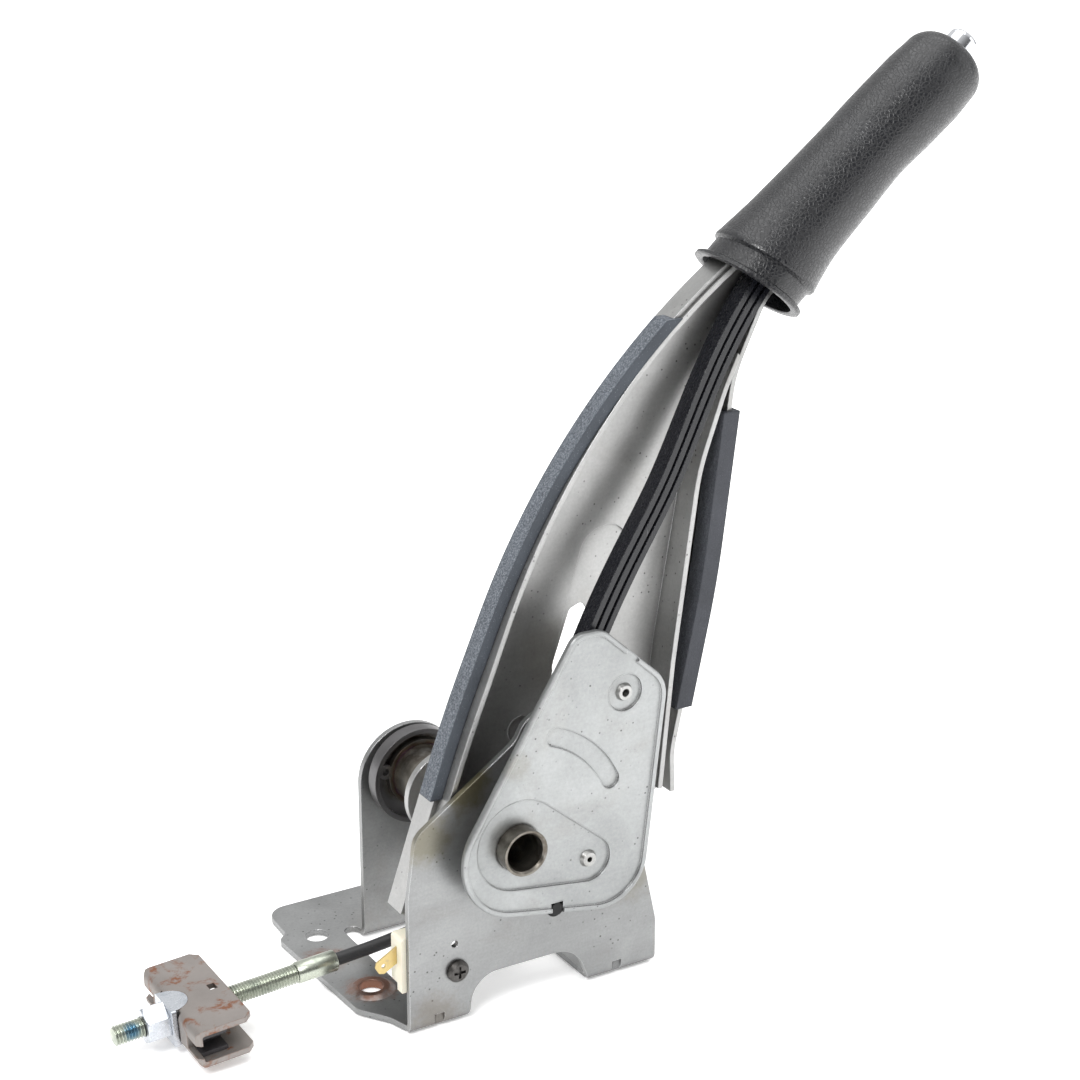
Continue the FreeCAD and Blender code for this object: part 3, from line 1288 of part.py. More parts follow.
def make_switch_screw():
    """Pan head screw with a cross recess, through the near plate into the switch."""
    front = NEAR_FACE - SCREW_HEAD_HEIGHT
    bevel = 1.2
    head = Part.makeCone(SCREW_HEAD - bevel, SCREW_HEAD, bevel, Vec(SCREW_X, front, SCREW_Z), AXIS_Y)
    head = head.fuse(rod_y(SCREW_HEAD, SCREW_X, SCREW_Z, front + bevel, SCREW_HEAD_HEIGHT - bevel))
    shank = rod_y(SCREW_RADIUS, SCREW_X, SCREW_Z, NEAR_FACE, BRACKET_SHEET + SCREW_REACH)
    long = RECESS_LENGTH / 2
    half = RECESS_WIDTH / 2
    arm = Part.makeBox(2 * long, 2.0, 2 * half, Vec(SCREW_X - long, front - 1, SCREW_Z - half))
    cross = Part.makeBox(2 * half, 2.0, 2 * long, Vec(SCREW_X - half, front - 1, SCREW_Z - long))
    return head.fuse(shank).cut(arm.fuse(cross))


def make_sleeve_washer():
    """Washer on the pivot tube between the sleeve and the far plate."""
    return ring_y(WASHER_RADIUS, TUBE_RADIUS + SEAT, 0, 0, FAR_INSIDE - WASHER_SHEET, WASHER_SHEET)


def main():
    os.makedirs("parts", exist_ok=True)
    parts = {
        "bracket": make_bracket(),
        "pivot_tube": make_pivot_tube(),
        "toothed_quadrant": make_sector(),
        "quadrant_rivets": make_sector_rivets(),
        "switch_body": make_switch_body(),
        "switch_terminal": make_switch_terminal(),
        "switch_screw": make_switch_screw(),
        "switch_plunger": make_switch_plunger(),
        "thrust_washer": make_sleeve_washer(),
        "lever_inner_channel": make_inner_channel(),
        "lever_outer_channel": make_outer_channel(),
        "front_trim_strip": make_left_trim(),
        "rear_trim_strip": make_right_trim(),
        "ratchet_cover": make_cover(),
        "rubber_bumper": make_bumper(),
        "pawl_pin": make_pawl_pin(),
        "stop_pin": make_stop_pin(),
        "lever_sleeve": make_sleeve(),
        "end_disc": make_end_disc(),
        "cable_arm": make_cable_arm(),
        "cable_pin": make_cable_pin(),
        "grip": make_grip(),
        "grip_core": make_grip_core(),
        "button": make_button(),
        "button_stem": make_button_stem(),
        "release_rod": make_release_rod(),
        "pawl": make_pawl(),
        "pawl_spring": make_pawl_spring(),
        "cable_eye": make_cable_eye(),
        "cable": make_cable(),
        "adjuster_stud": make_stud(),
        "adjuster_nut": make_nut(),
        "saddle": make_saddle(),
        "equalizer": make_equalizer(),
        "equalizer_blocks": make_equalizer_blocks(),
    }
    for name, shape in parts.items():
        shape.exportStep("parts/" + name + ".step")


main()
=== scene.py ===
"""Looks of the parking brake lever: pressed steel, foam strips, grained grip, threads, grease and rust.

The scene is in metres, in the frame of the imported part. Its origin lies on the pivot axis, +X runs
towards the grip, +Y from the near side plate to the far one and +Z up. Sizes of pieces are in
millimetres and turned by MM where a mesh or a node takes them. The studio and the camera are in metres.
"""

import math

import bmesh
import bpy
import numpy as np
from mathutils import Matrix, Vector


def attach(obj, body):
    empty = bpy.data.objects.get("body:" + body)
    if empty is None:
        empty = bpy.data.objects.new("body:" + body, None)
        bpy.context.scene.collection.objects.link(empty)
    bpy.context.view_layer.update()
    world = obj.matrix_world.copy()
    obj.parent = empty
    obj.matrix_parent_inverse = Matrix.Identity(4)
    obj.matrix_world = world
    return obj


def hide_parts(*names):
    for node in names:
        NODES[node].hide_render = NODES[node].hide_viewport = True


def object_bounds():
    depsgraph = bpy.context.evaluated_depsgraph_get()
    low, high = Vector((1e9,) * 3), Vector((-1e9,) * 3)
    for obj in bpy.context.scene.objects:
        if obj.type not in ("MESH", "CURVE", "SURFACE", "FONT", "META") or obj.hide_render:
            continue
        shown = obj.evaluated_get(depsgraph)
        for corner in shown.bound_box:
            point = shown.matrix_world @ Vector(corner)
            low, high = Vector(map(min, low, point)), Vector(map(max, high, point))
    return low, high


MM = 0.001
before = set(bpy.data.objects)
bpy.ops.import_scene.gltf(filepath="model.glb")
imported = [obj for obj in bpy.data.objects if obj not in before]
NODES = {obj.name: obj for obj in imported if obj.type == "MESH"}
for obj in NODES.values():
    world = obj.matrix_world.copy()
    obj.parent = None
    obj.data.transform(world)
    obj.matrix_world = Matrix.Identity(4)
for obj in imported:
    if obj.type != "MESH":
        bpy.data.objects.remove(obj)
CAD_BOX = [list(corner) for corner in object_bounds()]

# Camera, at the angle of the photograph: degrees, metres, and millimetres for lens and sensor
CAMERA_AZIMUTH = -30.65
CAMERA_ELEVATION = 19.0
CAMERA_PLACE = (-0.3930, -0.7303, 0.3935)
CAMERA_LENS = 76.5
SENSOR_WIDTH = 36.0

# Studio: the surround grows from ROOM_LIGHT to BACKDROP_LIGHT towards BACKDROP_SIDE
BACKDROP_SIDE = (0.26, 0.55, 0.79)
BACKDROP_START = -0.35
BACKDROP_FULL = 0.75
ROOM_LIGHT = 0.06
BACKDROP_LIGHT = 0.85

# Studio floor: its own light grows from GLOW_CENTRE below the part to GLOW_RIM far from it
FLOOR_HALF = 40.0
FLOOR_GAP = 0.0005
GLOW_START = 0.15
GLOW_END = 1.1
GLOW_CENTRE = 0.30
GLOW_RIM = 0.95

# Lamps: place, size and power in watts
LAMPS = {
    "key_panel": ((-1.1, -0.9, 1.5), 0.7, 30.0),
    "top_panel": ((0.2, 0.2, 1.9), 1.6, 16.0),
    "fill_panel": ((1.3, -1.1, 0.7), 1.2, 7.0),
}

# Turned pieces: points round each one, radius of the ring at a pole, and the span that closes it
GRIP_COLUMNS = 180
BUTTON_COLUMNS = 96
STUD_COLUMNS = 40
POLE = 0.01
POLE_MERGE = 0.025

# Foam strips: Y of their near face, and how far behind it the paler sides, a painted lit side with scuff
# texture, are in full
TRIM_NEAR_FACE = -31.5
TRIM_LIT_SIDE_START = 0.6

# End disc: radii between which the welding heat has tinted it
HEAT_INNER = 11.0
HEAT_OUTER = 20.0

# Grip, along its own axis from its foot: flange, neck, swell and cap
GRIP_FOOT = (124.1, -26.0, 206.1)
GRIP_ANGLE = 41.7
GRIP_LENGTH = 117.0
MOUTH_TILT = 10.5
MOUTH_BORE = 19.7
FLANGE_FACE = -10.6
FLANGE_BACK = -8.3
FLANGE_RADIUS = 23.3
NECK_RADIUS = 20.5
CAP_START = 107.0
CAP_RADIUS = 17.0
CAP_FALL = 10.0
HOLE_DEPTH = 16.0

# Button
BUTTON_DROP = 3.4
BUTTON_RADIUS = 6.5
BUTTON_HOLE = 6.7
BUTTON_START = 92.0
BUTTON_MIDDLE = 110.0
BUTTON_PROUD = 7.5
BUTTON_EDGE = 2.4

# Stud
STUD_TIP = (-147.0, 0.0, -63.4)
STUD_TILT = 3.8
STUD_RADIUS = 3.95
STUD_LENGTH = 76.0
THREAD_PITCH = 1.25
THREAD_DEPTH = 0.62
THREAD_STEPS = 10
FLANK_SLOPE = 1.25
ROOT_SHARE = 0.12
TIP_SHARE = 0.55
TIP_TAPER = 1.6
FERRULE_LENGTH = 17.0
FERRULE_RADIUS = 4.3
CABLE_SOCKET = 2.62
SOCKET_DEPTH = 9.0


def tone(red, green, blue):
    """Linear colour of a screen colour given in 0 to 255."""
    values = np.array([red, green, blue]) / 255.0
    low = values / 12.92
    high = ((values + 0.055) / 1.055) ** 2.4
    return (*np.where(values <= 0.04045, low, high).tolist(), 1.0)


class Finish:
    """One material, with short calls for the nodes that shape its surface."""

    def __init__(self, name, colour, roughness, metallic=0.0):
        self.material = bpy.data.materials.new(name)
        self.material.use_nodes = True
        self.nodes = self.material.node_tree.nodes
        self.links = self.material.node_tree.links
        self.shader = self.nodes["Principled BSDF"]
        self.shader.inputs["Base Color"].default_value = colour
        self.shader.inputs["Roughness"].default_value = roughness
        self.shader.inputs["Metallic"].default_value = metallic
        self.colour = self.solid(colour)
        self.place = self.nodes.new("ShaderNodeTexCoord").outputs["Object"]
        self.height = None

    def solid(self, colour):
        """A constant colour as a node output, to be mixed with others."""
        node = self.nodes.new("ShaderNodeRGB")
        node.outputs[0].default_value = colour
        return node.outputs[0]

    def feed(self, socket, value):
        """Sets a socket to a constant, or links it to an output."""
        if isinstance(value, bpy.types.NodeSocket):
            self.links.new(value, socket)
        else:
            socket.default_value = value

    def stretched(self, scale, turn=(0, 0, 0)):
        """Object coordinates turned, then stretched along each axis."""
        node = self.nodes.new("ShaderNodeMapping")
        self.feed(node.inputs["Vector"], self.place)
        node.inputs["Rotation"].default_value = turn
        node.inputs["Scale"].default_value = scale
        return node.outputs[0]

    def noise(self, scale, detail=4.0, rough=0.55, where=None, warp=0.0):
        """Soft random value from 0 to 1, with features of about 1 / scale metres."""
        node = self.nodes.new("ShaderNodeTexNoise")
        self.feed(node.inputs["Vector"], where or self.place)
        node.inputs["Scale"].default_value = scale
        node.inputs["Detail"].default_value = detail
        node.inputs["Roughness"].default_value = rough
        node.inputs["Distortion"].default_value = warp
        return node.outputs["Fac"]

    def cells(self, scale, feature="F1", where=None):
        """Distance to the nearest of many scattered points, or to the border between them."""
        node = self.nodes.new("ShaderNodeTexVoronoi")
        node.feature = feature
        self.feed(node.inputs["Vector"], where or self.place)
        node.inputs["Scale"].default_value = scale
        return node.outputs["Distance"]

    def calc(self, operation, first, second=0.0):
        """Arithmetic on two values."""
        node = self.nodes.new("ShaderNodeMath")
        node.operation = operation
        self.feed(node.inputs[0], first)
        self.feed(node.inputs[1], second)
        return node.outputs[0]

    def between(self, value, low, high):
        """0 below low, 1 above high, and smooth between them."""
        node = self.nodes.new("ShaderNodeMapRange")
        node.interpolation_type = "SMOOTHSTEP"
        self.feed(node.inputs["Value"], value)
        self.feed(node.inputs["From Min"], low)
        self.feed(node.inputs["From Max"], high)
        return node.outputs["Result"]

    def ramp(self, value, stops):
        """Colour read from a row of stops, each (place, colour)."""
        node = self.nodes.new("ShaderNodeValToRGB")
        self.feed(node.inputs["Fac"], value)
        elements = node.color_ramp.elements
        while len(elements) < len(stops):
            elements.new(0.5)
        for element, (position, colour) in zip(elements, stops):
            element.position = position
            element.color = colour
        return node.outputs["Color"]

    def mixed(self, share, first, second, blend="MIX"):
        """Two colours mixed by a share from 0 to 1."""
        node = self.nodes.new("ShaderNodeMix")
        node.data_type = "RGBA"
        node.blend_type = blend
        self.feed(node.inputs["Factor"], share)
        self.feed(node.inputs[6], first)
        self.feed(node.inputs[7], second)
        return node.outputs[2]

    def tint(self, share, colour):
        """Paints the surface's colour over by a share from 0 to 1."""
        self.colour = self.mixed(share, self.colour, colour)

    def vary(self, value, dark, light):
        """Multiplies the surface's colour by a grey that runs from dark to light."""
        grey = self.ramp(value, [(0.25, (dark, dark, dark, 1)), (0.75, (light, light, light, 1))])
        self.colour = self.mixed(1.0, self.colour, grey, "MULTIPLY")

    def spot(self, centre, radius, ragged=0.35, scale=160.0):
        """1 at a place given in mm, falling to 0 at a ragged edge."""
        node = self.nodes.new("ShaderNodeVectorMath")
        node.operation = "DISTANCE"
        self.feed(node.inputs[0], self.place)
        node.inputs[1].default_value = [c * MM for c in centre]
        away = self.calc("DIVIDE", node.outputs["Value"], radius * MM)
        shaken = self.calc("ADD", away, self.calc("MULTIPLY", self.noise(scale, 6.0, 0.65), ragged * 2))
        return self.between(shaken, 1.0 + ragged, 0.35 + ragged)

    def edges(self, width):
        """1 on convex and concave edges, 0 on flats, from a rounded and the true normal."""
        soft = self.nodes.new("ShaderNodeBevel")
        soft.samples = 4
        soft.inputs["Radius"].default_value = width * MM
        true = self.nodes.new("ShaderNodeNewGeometry")
        node = self.nodes.new("ShaderNodeVectorMath")
        node.operation = "DOT_PRODUCT"
        self.feed(node.inputs[0], soft.outputs[0])
        self.feed(node.inputs[1], true.outputs["Normal"])
        return self.between(node.outputs["Value"], 0.995, 0.80)

    def grime_and_shade(self, distance):
        """Painted shade and grime: 1 deep in corners, where shade falls, 0 in the open."""
        node = self.nodes.new("ShaderNodeAmbientOcclusion")
        node.samples = 4
        node.inputs["Distance"].default_value = distance * MM
        return self.between(node.outputs["AO"], 0.75, 0.15)

    def rough(self, value, low, high):
        """Roughness that runs from low to high with a value from 0 to 1."""
        node = self.nodes.new("ShaderNodeMapRange")
        self.feed(node.inputs["Value"], value)
        node.inputs["To Min"].default_value = low
        node.inputs["To Max"].default_value = high
        self.feed(self.shader.inputs["Roughness"], node.outputs["Result"])

    def raise_by(self, value, depth, soften=None):
        """Adds a bump of a depth in mm, on top of the bumps added before."""
        node = self.nodes.new("ShaderNodeBump")
        node.inputs["Strength"].default_value = 1.0
        node.inputs["Distance"].default_value = depth * MM
        self.feed(node.inputs["Height"], value)
        if self.height is not None:
            self.feed(node.inputs["Normal"], self.height)
        elif soften:
            soft = self.nodes.new("ShaderNodeBevel")
            soft.samples = 4
            soft.inputs["Radius"].default_value = soften * MM
            self.feed(node.inputs["Normal"], soft.outputs[0])
        self.height = node.outputs["Normal"]

    def done(self):
        """Links what was painted and returns the material."""
        self.feed(self.shader.inputs["Base Color"], self.colour)
        if self.height is not None:
            self.feed(self.shader.inputs["Normal"], self.height)
        return self.material


RUST = tone(132, 78, 44)
RUST_DARK = tone(70, 44, 30)
GREASE = tone(112, 104, 72)
FILM = tone(120, 108, 92)
# Soot colour of pits, also painted into corners as shade
SOOT_AND_SHADE = tone(52, 50, 50)
# Pale colour of worn bare edges, also a painted highlight along edges
BARE_AND_HIGHLIGHT = tone(214, 215, 216)


def rolled_steel(name, colour, roughness=0.38, metallic=0.84, soften=0.6):
    """Grey pressed sheet: cloudy tone, brown film, pits, pale edges that are partly worn metal and partly a
    painted highlight, and painted shade in corners.
    """
    steel = Finish(name, colour, roughness, metallic)
    cloud = steel.noise(26.0, 6.0, 0.62, warp=0.6)
    grain = steel.noise(900.0, 3.0, 0.7)
    lines = steel.noise(1.0, 4.0, 0.6, steel.stretched((40.0, 40.0, 700.0), (0, 0.5, 0)))
    steel.vary(cloud, 0.74, 1.12)
    steel.vary(steel.noise(9.0, 2.0), 0.86, 1.10)
    steel.vary(grain, 0.90, 1.07)
    steel.vary(lines, 0.97, 1.03)
    film = steel.between(steel.noise(17.0, 7.0, 0.7, warp=0.8), 0.52, 0.70)
    steel.tint(steel.calc("MULTIPLY", film, 0.16), FILM)
    pits = steel.between(steel.cells(300.0), 0.16, 0.07)
    patches = steel.between(steel.noise(40.0, 4.0, 0.6), 0.44, 0.58)
    steel.tint(steel.calc("MULTIPLY", pits, steel.calc("MULTIPLY", patches, 0.75)), SOOT_AND_SHADE)
    # Painted shade: corners darkened by occlusion at two reaches, as shade falls there.
    steel.tint(steel.calc("MULTIPLY", steel.grime_and_shade(8.0), 0.50), SOOT_AND_SHADE)
    steel.tint(steel.calc("MULTIPLY", steel.grime_and_shade(2.5), 0.80), SOOT_AND_SHADE)
    # Painted highlight: edges made pale, partly as worn bare metal and partly as the bright lines light puts
    # on bends.
    steel.tint(steel.calc("MULTIPLY", steel.edges(0.6), 0.70), BARE_AND_HIGHLIGHT)
    steel.rough(cloud, roughness - 0.12, roughness + 0.12)
    steel.raise_by(cloud, 0.06, soften)
    steel.raise_by(grain, 0.012)
    return steel


def bracket_steel():
    """Sheet of the floor bracket, with a brown film beside the cover, partly grease and partly painted shade
    of the raised cover, and rust on the floor strip.
    """
    steel = rolled_steel("bracket_steel", tone(156, 157, 157))
    # Brown patches beside the cover: grease colour, and painted shade where the raised cover shades the
    # plate.
    steel.tint(steel.calc("MULTIPLY", steel.spot((-33, -40, 6), 14, 0.5), 0.55), GREASE)
    steel.tint(steel.calc("MULTIPLY", steel.spot((-16, -40, 26), 15, 0.5), 0.80), GREASE)
    steel.tint(steel.calc("MULTIPLY", steel.spot((58, -40, -30), 16, 0.5), 0.30), GREASE)
    steel.tint(steel.calc("MULTIPLY", steel.spot((-30, -40, -70), 14, 0.6, 260), 0.35), FILM)
    steel.tint(steel.calc("MULTIPLY", steel.spot((-40, -4, -72), 13, 0.5, 300), 0.75), RUST)
    steel.tint(steel.calc("MULTIPLY", steel.spot((-46, 26, -72), 12, 0.6, 300), 0.55), RUST)
    steel.tint(steel.calc("MULTIPLY", steel.spot((-44, -8, -72), 6, 0.5, 300), 0.7), RUST_DARK)
    return steel.done()


def channel_steel():
    """Sheet of the lever's two pressings."""
    steel = rolled_steel("channel_steel", tone(178, 178, 177))
    steel.tint(steel.calc("MULTIPLY", steel.spot((30, -22, 62), 20), 0.15), GREASE)
    return steel.done()


def cover_steel():
    """Sheet of the ratchet cover, whose pressed steps are softly rounded."""
    steel = rolled_steel("cover_steel", tone(166, 168, 168), soften=1.1)
    steel.tint(steel.calc("MULTIPLY", steel.spot((-2, -52, 34), 8, 0.5), 0.2), GREASE)
    return steel.done()


def disc_steel():
    """Steel of the end disc, tinted by welding heat in rings round the pivot axis."""
    steel = Finish("disc_steel", tone(150, 140, 128), 0.34, 0.9)
    split = steel.nodes.new("ShaderNodeSeparateXYZ")
    steel.feed(split.inputs[0], steel.place)
    across = steel.calc("POWER", split.outputs["X"], 2.0)
    height = steel.calc("POWER", split.outputs["Z"], 2.0)
    radius = steel.calc("SQRT", steel.calc("ADD", across, height))
    shaken = steel.calc("ADD", radius, steel.calc("MULTIPLY", steel.noise(120.0, 3.0), 0.006))
    share = steel.between(shaken, HEAT_INNER * MM, HEAT_OUTER * MM)
    steel.colour = steel.ramp(share, [
        (0.0, tone(98, 96, 95)),
        (0.25, tone(74, 78, 116)),
        (0.42, tone(92, 66, 84)),
        (0.6, tone(84, 70, 56)),
        (0.8, tone(92, 88, 82)),
        (1.0, tone(104, 103, 104)),
    ])
    steel.vary(steel.noise(60.0), 0.7, 1.15)
    steel.rough(steel.noise(300.0), 0.25, 0.45)
    steel.raise_by(steel.noise(500.0, 5.0), 0.03, soften=0.4)
    return steel.done()


def turned_steel():
    """Turned tube with a cloudy brown tint, fine rings and painted shade in its corners."""
    steel = Finish("tube_steel", tone(148, 142, 136), 0.3, 0.92)
    cloud = steel.noise(70.0, 4.0, 0.6)
    steel.colour = steel.ramp(cloud, [
        (0.30, tone(104, 104, 106)),
        (0.45, tone(134, 130, 122)),
        (0.60, tone(98, 92, 84)),
        (0.72, tone(150, 148, 143)),
    ])
    rings = steel.noise(1.0, 3.0, 0.6, steel.stretched((30.0, 2600.0, 30.0)))
    steel.vary(rings, 0.86, 1.1)
    # Painted shade: corners darkened by occlusion.
    steel.tint(steel.calc("MULTIPLY", steel.grime_and_shade(5.0), 0.6), SOOT_AND_SHADE)
    steel.rough(rings, 0.22, 0.42)
    steel.raise_by(rings, 0.02, soften=0.4)
    return steel.done()


def plated_steel(name, colour, dark, roughness=0.28):
    """Zinc-plated small part with a cloudy sheen and painted shade in its corners."""
    steel = Finish(name, colour, roughness, 0.9)
    cloud = steel.noise(140.0, 4.0, 0.6)
    steel.tint(steel.between(cloud, 0.45, 0.75), dark)
    steel.vary(steel.noise(1400.0, 3.0), 0.88, 1.1)
    # Painted shade: corners darkened by occlusion.
    steel.tint(steel.calc("MULTIPLY", steel.grime_and_shade(3.0), 0.7), SOOT_AND_SHADE)
    steel.rough(cloud, roughness - 0.06, roughness + 0.16)
    steel.raise_by(steel.noise(900.0, 4.0), 0.02, soften=0.3)
    return steel


def stud_zinc():
    """Green-yellow plate of the stud, with a worn blue patch near the tip."""
    zinc = plated_steel("stud_zinc", tone(184, 189, 176), tone(150, 157, 146), 0.24)
    zinc.tint(zinc.calc("MULTIPLY", zinc.spot((-140, -2, -62), 4.6, 0.25, 700), 0.85), tone(58, 112, 140))
    return zinc.done()


def hard_steel():
    """Hardened dark steel of the quadrant and the pawl, wet with oil."""
    steel = Finish("hard_steel", tone(92, 88, 84), 0.32, 0.9)
    steel.vary(steel.noise(90.0), 0.7, 1.2)
    steel.tint(steel.calc("MULTIPLY", steel.edges(0.35), 0.5), tone(170, 168, 164))
    steel.tint(steel.calc("MULTIPLY", steel.between(steel.noise(45.0), 0.5, 0.7), 0.5), GREASE)
    steel.rough(steel.noise(200.0), 0.2, 0.5)
    steel.raise_by(steel.noise(600.0), 0.02, soften=0.25)
    return steel.done()


def rusty_steel():
    """Grey steel of the equalizer bar with light rust in patches and along its edges, and painted shade in
    its corners.
    """
    steel = Finish("equalizer_steel", tone(150, 144, 140), 0.45, 0.75)
    cloud = steel.noise(80.0, 6.0, 0.7, warp=0.4)
    steel.vary(steel.noise(30.0), 0.8, 1.15)
    steel.tint(steel.calc("MULTIPLY", steel.between(cloud, 0.50, 0.62), 0.85), RUST)
    steel.tint(steel.calc("MULTIPLY", steel.edges(0.5), 0.5), tone(138, 96, 70))
    # Painted shade: corners darkened to dark brown by occlusion.
    steel.tint(steel.calc("MULTIPLY", steel.grime_and_shade(5.0), 0.6), tone(48, 40, 36))
    steel.rough(cloud, 0.35, 0.75)
    steel.raise_by(cloud, 0.08, soften=0.5)
    steel.raise_by(steel.noise(1200.0), 0.015)
    return steel.done()


def foam(name, colour, sparkle):
    """Closed-cell foam strip: fine pores and pale specks; behind its near face the sides are painted paler
    with scuff texture, a painted lit side.
    """
    strip = Finish(name, colour, 0.72)
    split = strip.nodes.new("ShaderNodeSeparateXYZ")
    strip.feed(split.inputs[0], strip.place)
    near = TRIM_NEAR_FACE * MM
    outer = strip.between(split.outputs["Y"], near, near + TRIM_LIT_SIDE_START * MM)
    pores = strip.cells(1300.0)
    specks = strip.cells(1100.0)
    cloud = strip.noise(60.0)
    strip.vary(cloud, 0.8, 1.2)
    scuff = strip.between(strip.noise(1500.0, 5.0, 0.7), 0.40, 0.70)
    # Painted light: faces behind the near face made paler, as the side the lamps light, mottled like scuffs.
    strip.tint(strip.calc("MULTIPLY", strip.calc("MULTIPLY", scuff, outer), sparkle), tone(138, 144, 152))
    strip.tint(strip.calc("MULTIPLY", strip.between(specks, 0.16, 0.06), sparkle * 0.6), tone(166, 170, 176))
    strip.raise_by(strip.noise(260.0, 5.0), 0.22, soften=0.9)
    strip.raise_by(pores, 0.10)
    return strip.done()


def grained_plastic():
    """Black moulded grip with leather grain: small satin pebbles between dull creases, and faint dust."""
    skin = Finish("grip_grain", tone(15, 16, 20), 0.32)
    skin.shader.inputs["Coat Weight"].default_value = 0.28
    skin.shader.inputs["Coat Roughness"].default_value = 0.30
    wander = skin.noise(240.0, 3.0, 0.5)
    shifted = skin.nodes.new("ShaderNodeVectorMath")
    shifted.operation = "MULTIPLY_ADD"
    skin.feed(shifted.inputs[0], wander)
    shifted.inputs[1].default_value = (0.0024, 0.0024, 0.0024)
    skin.feed(shifted.inputs[2], skin.place)
    creases = skin.cells(620.0, "DISTANCE_TO_EDGE", shifted.outputs[0])
    pebble = skin.between(creases, 0.0, 0.22)
    skin.vary(pebble, 0.75, 1.15)
    skin.vary(skin.noise(22.0), 0.88, 1.1)
    skin.tint(skin.calc("MULTIPLY", skin.between(skin.noise(34.0, 6.0), 0.54, 0.74), 0.07), tone(84, 86, 92))
    skin.rough(pebble, 0.50, 0.28)
    skin.raise_by(pebble, 0.10)
    skin.raise_by(skin.noise(2400.0, 3.0), 0.02)
    return skin.done()


def moulded_plastic(name, colour, roughness):
    """Plain moulded plastic with a faint texture and scuffs."""
    plastic = Finish(name, colour, roughness)
    scuff = plastic.noise(1.0, 5.0, 0.7, plastic.stretched((900.0, 900.0, 120.0), (0, 0.6, 0)))
    plastic.vary(plastic.noise(40.0), 0.86, 1.12)
    plastic.tint(plastic.calc("MULTIPLY", plastic.between(scuff, 0.62, 0.78), 0.25), tone(150, 150, 152))
    plastic.rough(scuff, roughness - 0.08, roughness + 0.14)
    plastic.raise_by(plastic.noise(700.0, 4.0), 0.03, soften=0.4)
    return plastic.done()


def cream_plastic():
    """Cream nylon of the switch, with brown dirt and painted shade in its corners."""
    nylon = Finish("switch_nylon", tone(226, 221, 203), 0.5)
    nylon.shader.inputs["Subsurface Weight"].default_value = 0.08
    nylon.shader.inputs["Subsurface Scale"].default_value = 0.002
    nylon.vary(nylon.noise(90.0), 0.9, 1.05)
    # Brown dirt and painted shade: corners darkened by occlusion.
    nylon.tint(nylon.calc("MULTIPLY", nylon.grime_and_shade(4.0), 0.5), tone(120, 104, 74))
    nylon.raise_by(nylon.noise(800.0), 0.02, soften=0.4)
    return nylon.done()


def blade_brass():
    """Stamped brass blade with a dull film."""
    brass = Finish("terminal_brass", tone(206, 184, 128), 0.32, 0.95)
    film = brass.noise(260.0, 5.0, 0.6)
    brass.tint(brass.between(film, 0.5, 0.75), tone(176, 160, 132))
    brass.rough(film, 0.24, 0.48)
    brass.raise_by(film, 0.015, soften=0.15)
    return brass.done()


def polished_chrome():
    """Plated button: near mirror, with faint wipe marks."""
    plate = Finish("button_chrome", tone(222, 224, 228), 0.08, 1.0)
    wipe = plate.noise(1.0, 4.0, 0.6, plate.stretched((400.0, 900.0, 60.0)))
    plate.vary(wipe, 0.95, 1.03)
    plate.rough(wipe, 0.05, 0.16)
    return plate.done()


def wear(material, *names):
    """Gives each named CAD node one material."""
    for name in names:
        slots = NODES[name].data.materials
        slots.clear()
        slots.append(material)


def surface(name, points, material, sharp=35.0):
    """Mesh of a grid of points, in mm, whose columns close on themselves and whose poles become one point."""
    rows, columns, _ = points.shape
    index = np.arange(rows * columns).reshape(rows, columns)
    after = np.roll(index, -1, axis=1)
    quads = np.stack([index[:-1], after[:-1], after[1:], index[1:]], axis=-1).reshape(-1, 4)
    mesh = bpy.data.meshes.new(name)
    mesh.from_pydata((points.reshape(-1, 3) * MM).tolist(), [], quads.tolist())
    build = bmesh.new()
    build.from_mesh(mesh)
    bmesh.ops.remove_doubles(build, verts=build.verts, dist=POLE_MERGE * MM)
    build.to_mesh(mesh)
    build.free()
    mesh.shade_smooth()
    mesh.set_sharp_from_angle(angle=math.radians(sharp))
    mesh.materials.append(material)
    piece = bpy.data.objects.new(name, mesh)
    bpy.context.scene.collection.objects.link(piece)
    return piece


def dress(piece, body, slot, *nodes):
    """Says which body a piece rides on and the CAD nodes that it stands for, which it hides; its material
    slot is not used.
    """
    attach(piece, body)
    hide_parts(*nodes)


def smooth_through(stations, parameter):
    """Values of a smooth curve through rows of (parameter, values), by monotone cubic pieces."""
    stations = np.array(stations, float)
    knots = stations[:, 0]
    values = stations[:, 1:]
    step = np.diff(knots)[:, None]
    slope = np.diff(values, axis=0) / step
    product = slope[:-1] * slope[1:]
    inner = np.where(product > 0, 2 * product / (slope[:-1] + slope[1:] + 1e-12), 0.0)
    tangent = np.vstack([slope[:1], inner, slope[-1:]])
    span = np.clip(np.searchsorted(knots, parameter, side="right") - 1, 0, len(knots) - 2)
    share = ((parameter - knots[span]) / step[span, 0])[:, None]
    from_start = values[span] * (1 + 2 * share) + tangent[span] * step[span] * share
    from_end = values[span + 1] * (3 - 2 * share) + tangent[span + 1] * step[span] * (share - 1)
    return from_start * (1 - share) ** 2 + from_end * share ** 2


def rings_along(u, drop, radius, tilt, columns):
    """Circles across the grip, each u along its axis and drop below it, leaning by tilt degrees."""
    axis = math.radians(GRIP_ANGLE)
    lean = np.radians(GRIP_ANGLE + tilt)
    turn = np.linspace(0, 2 * math.pi, columns, endpoint=False)
    x = GRIP_FOOT[0] + u * math.cos(axis) + drop * math.sin(axis)
    z = GRIP_FOOT[2] + u * math.sin(axis) - drop * math.cos(axis)
    side = radius[:, None] * np.cos(turn)[None, :]
    rise = radius[:, None] * np.sin(turn)[None, :]
    return np.stack([
        x[:, None] - rise * np.sin(lean)[:, None],
        GRIP_FOOT[1] + side,
        z[:, None] + rise * np.cos(lean)[:, None],
    ], axis=-1)


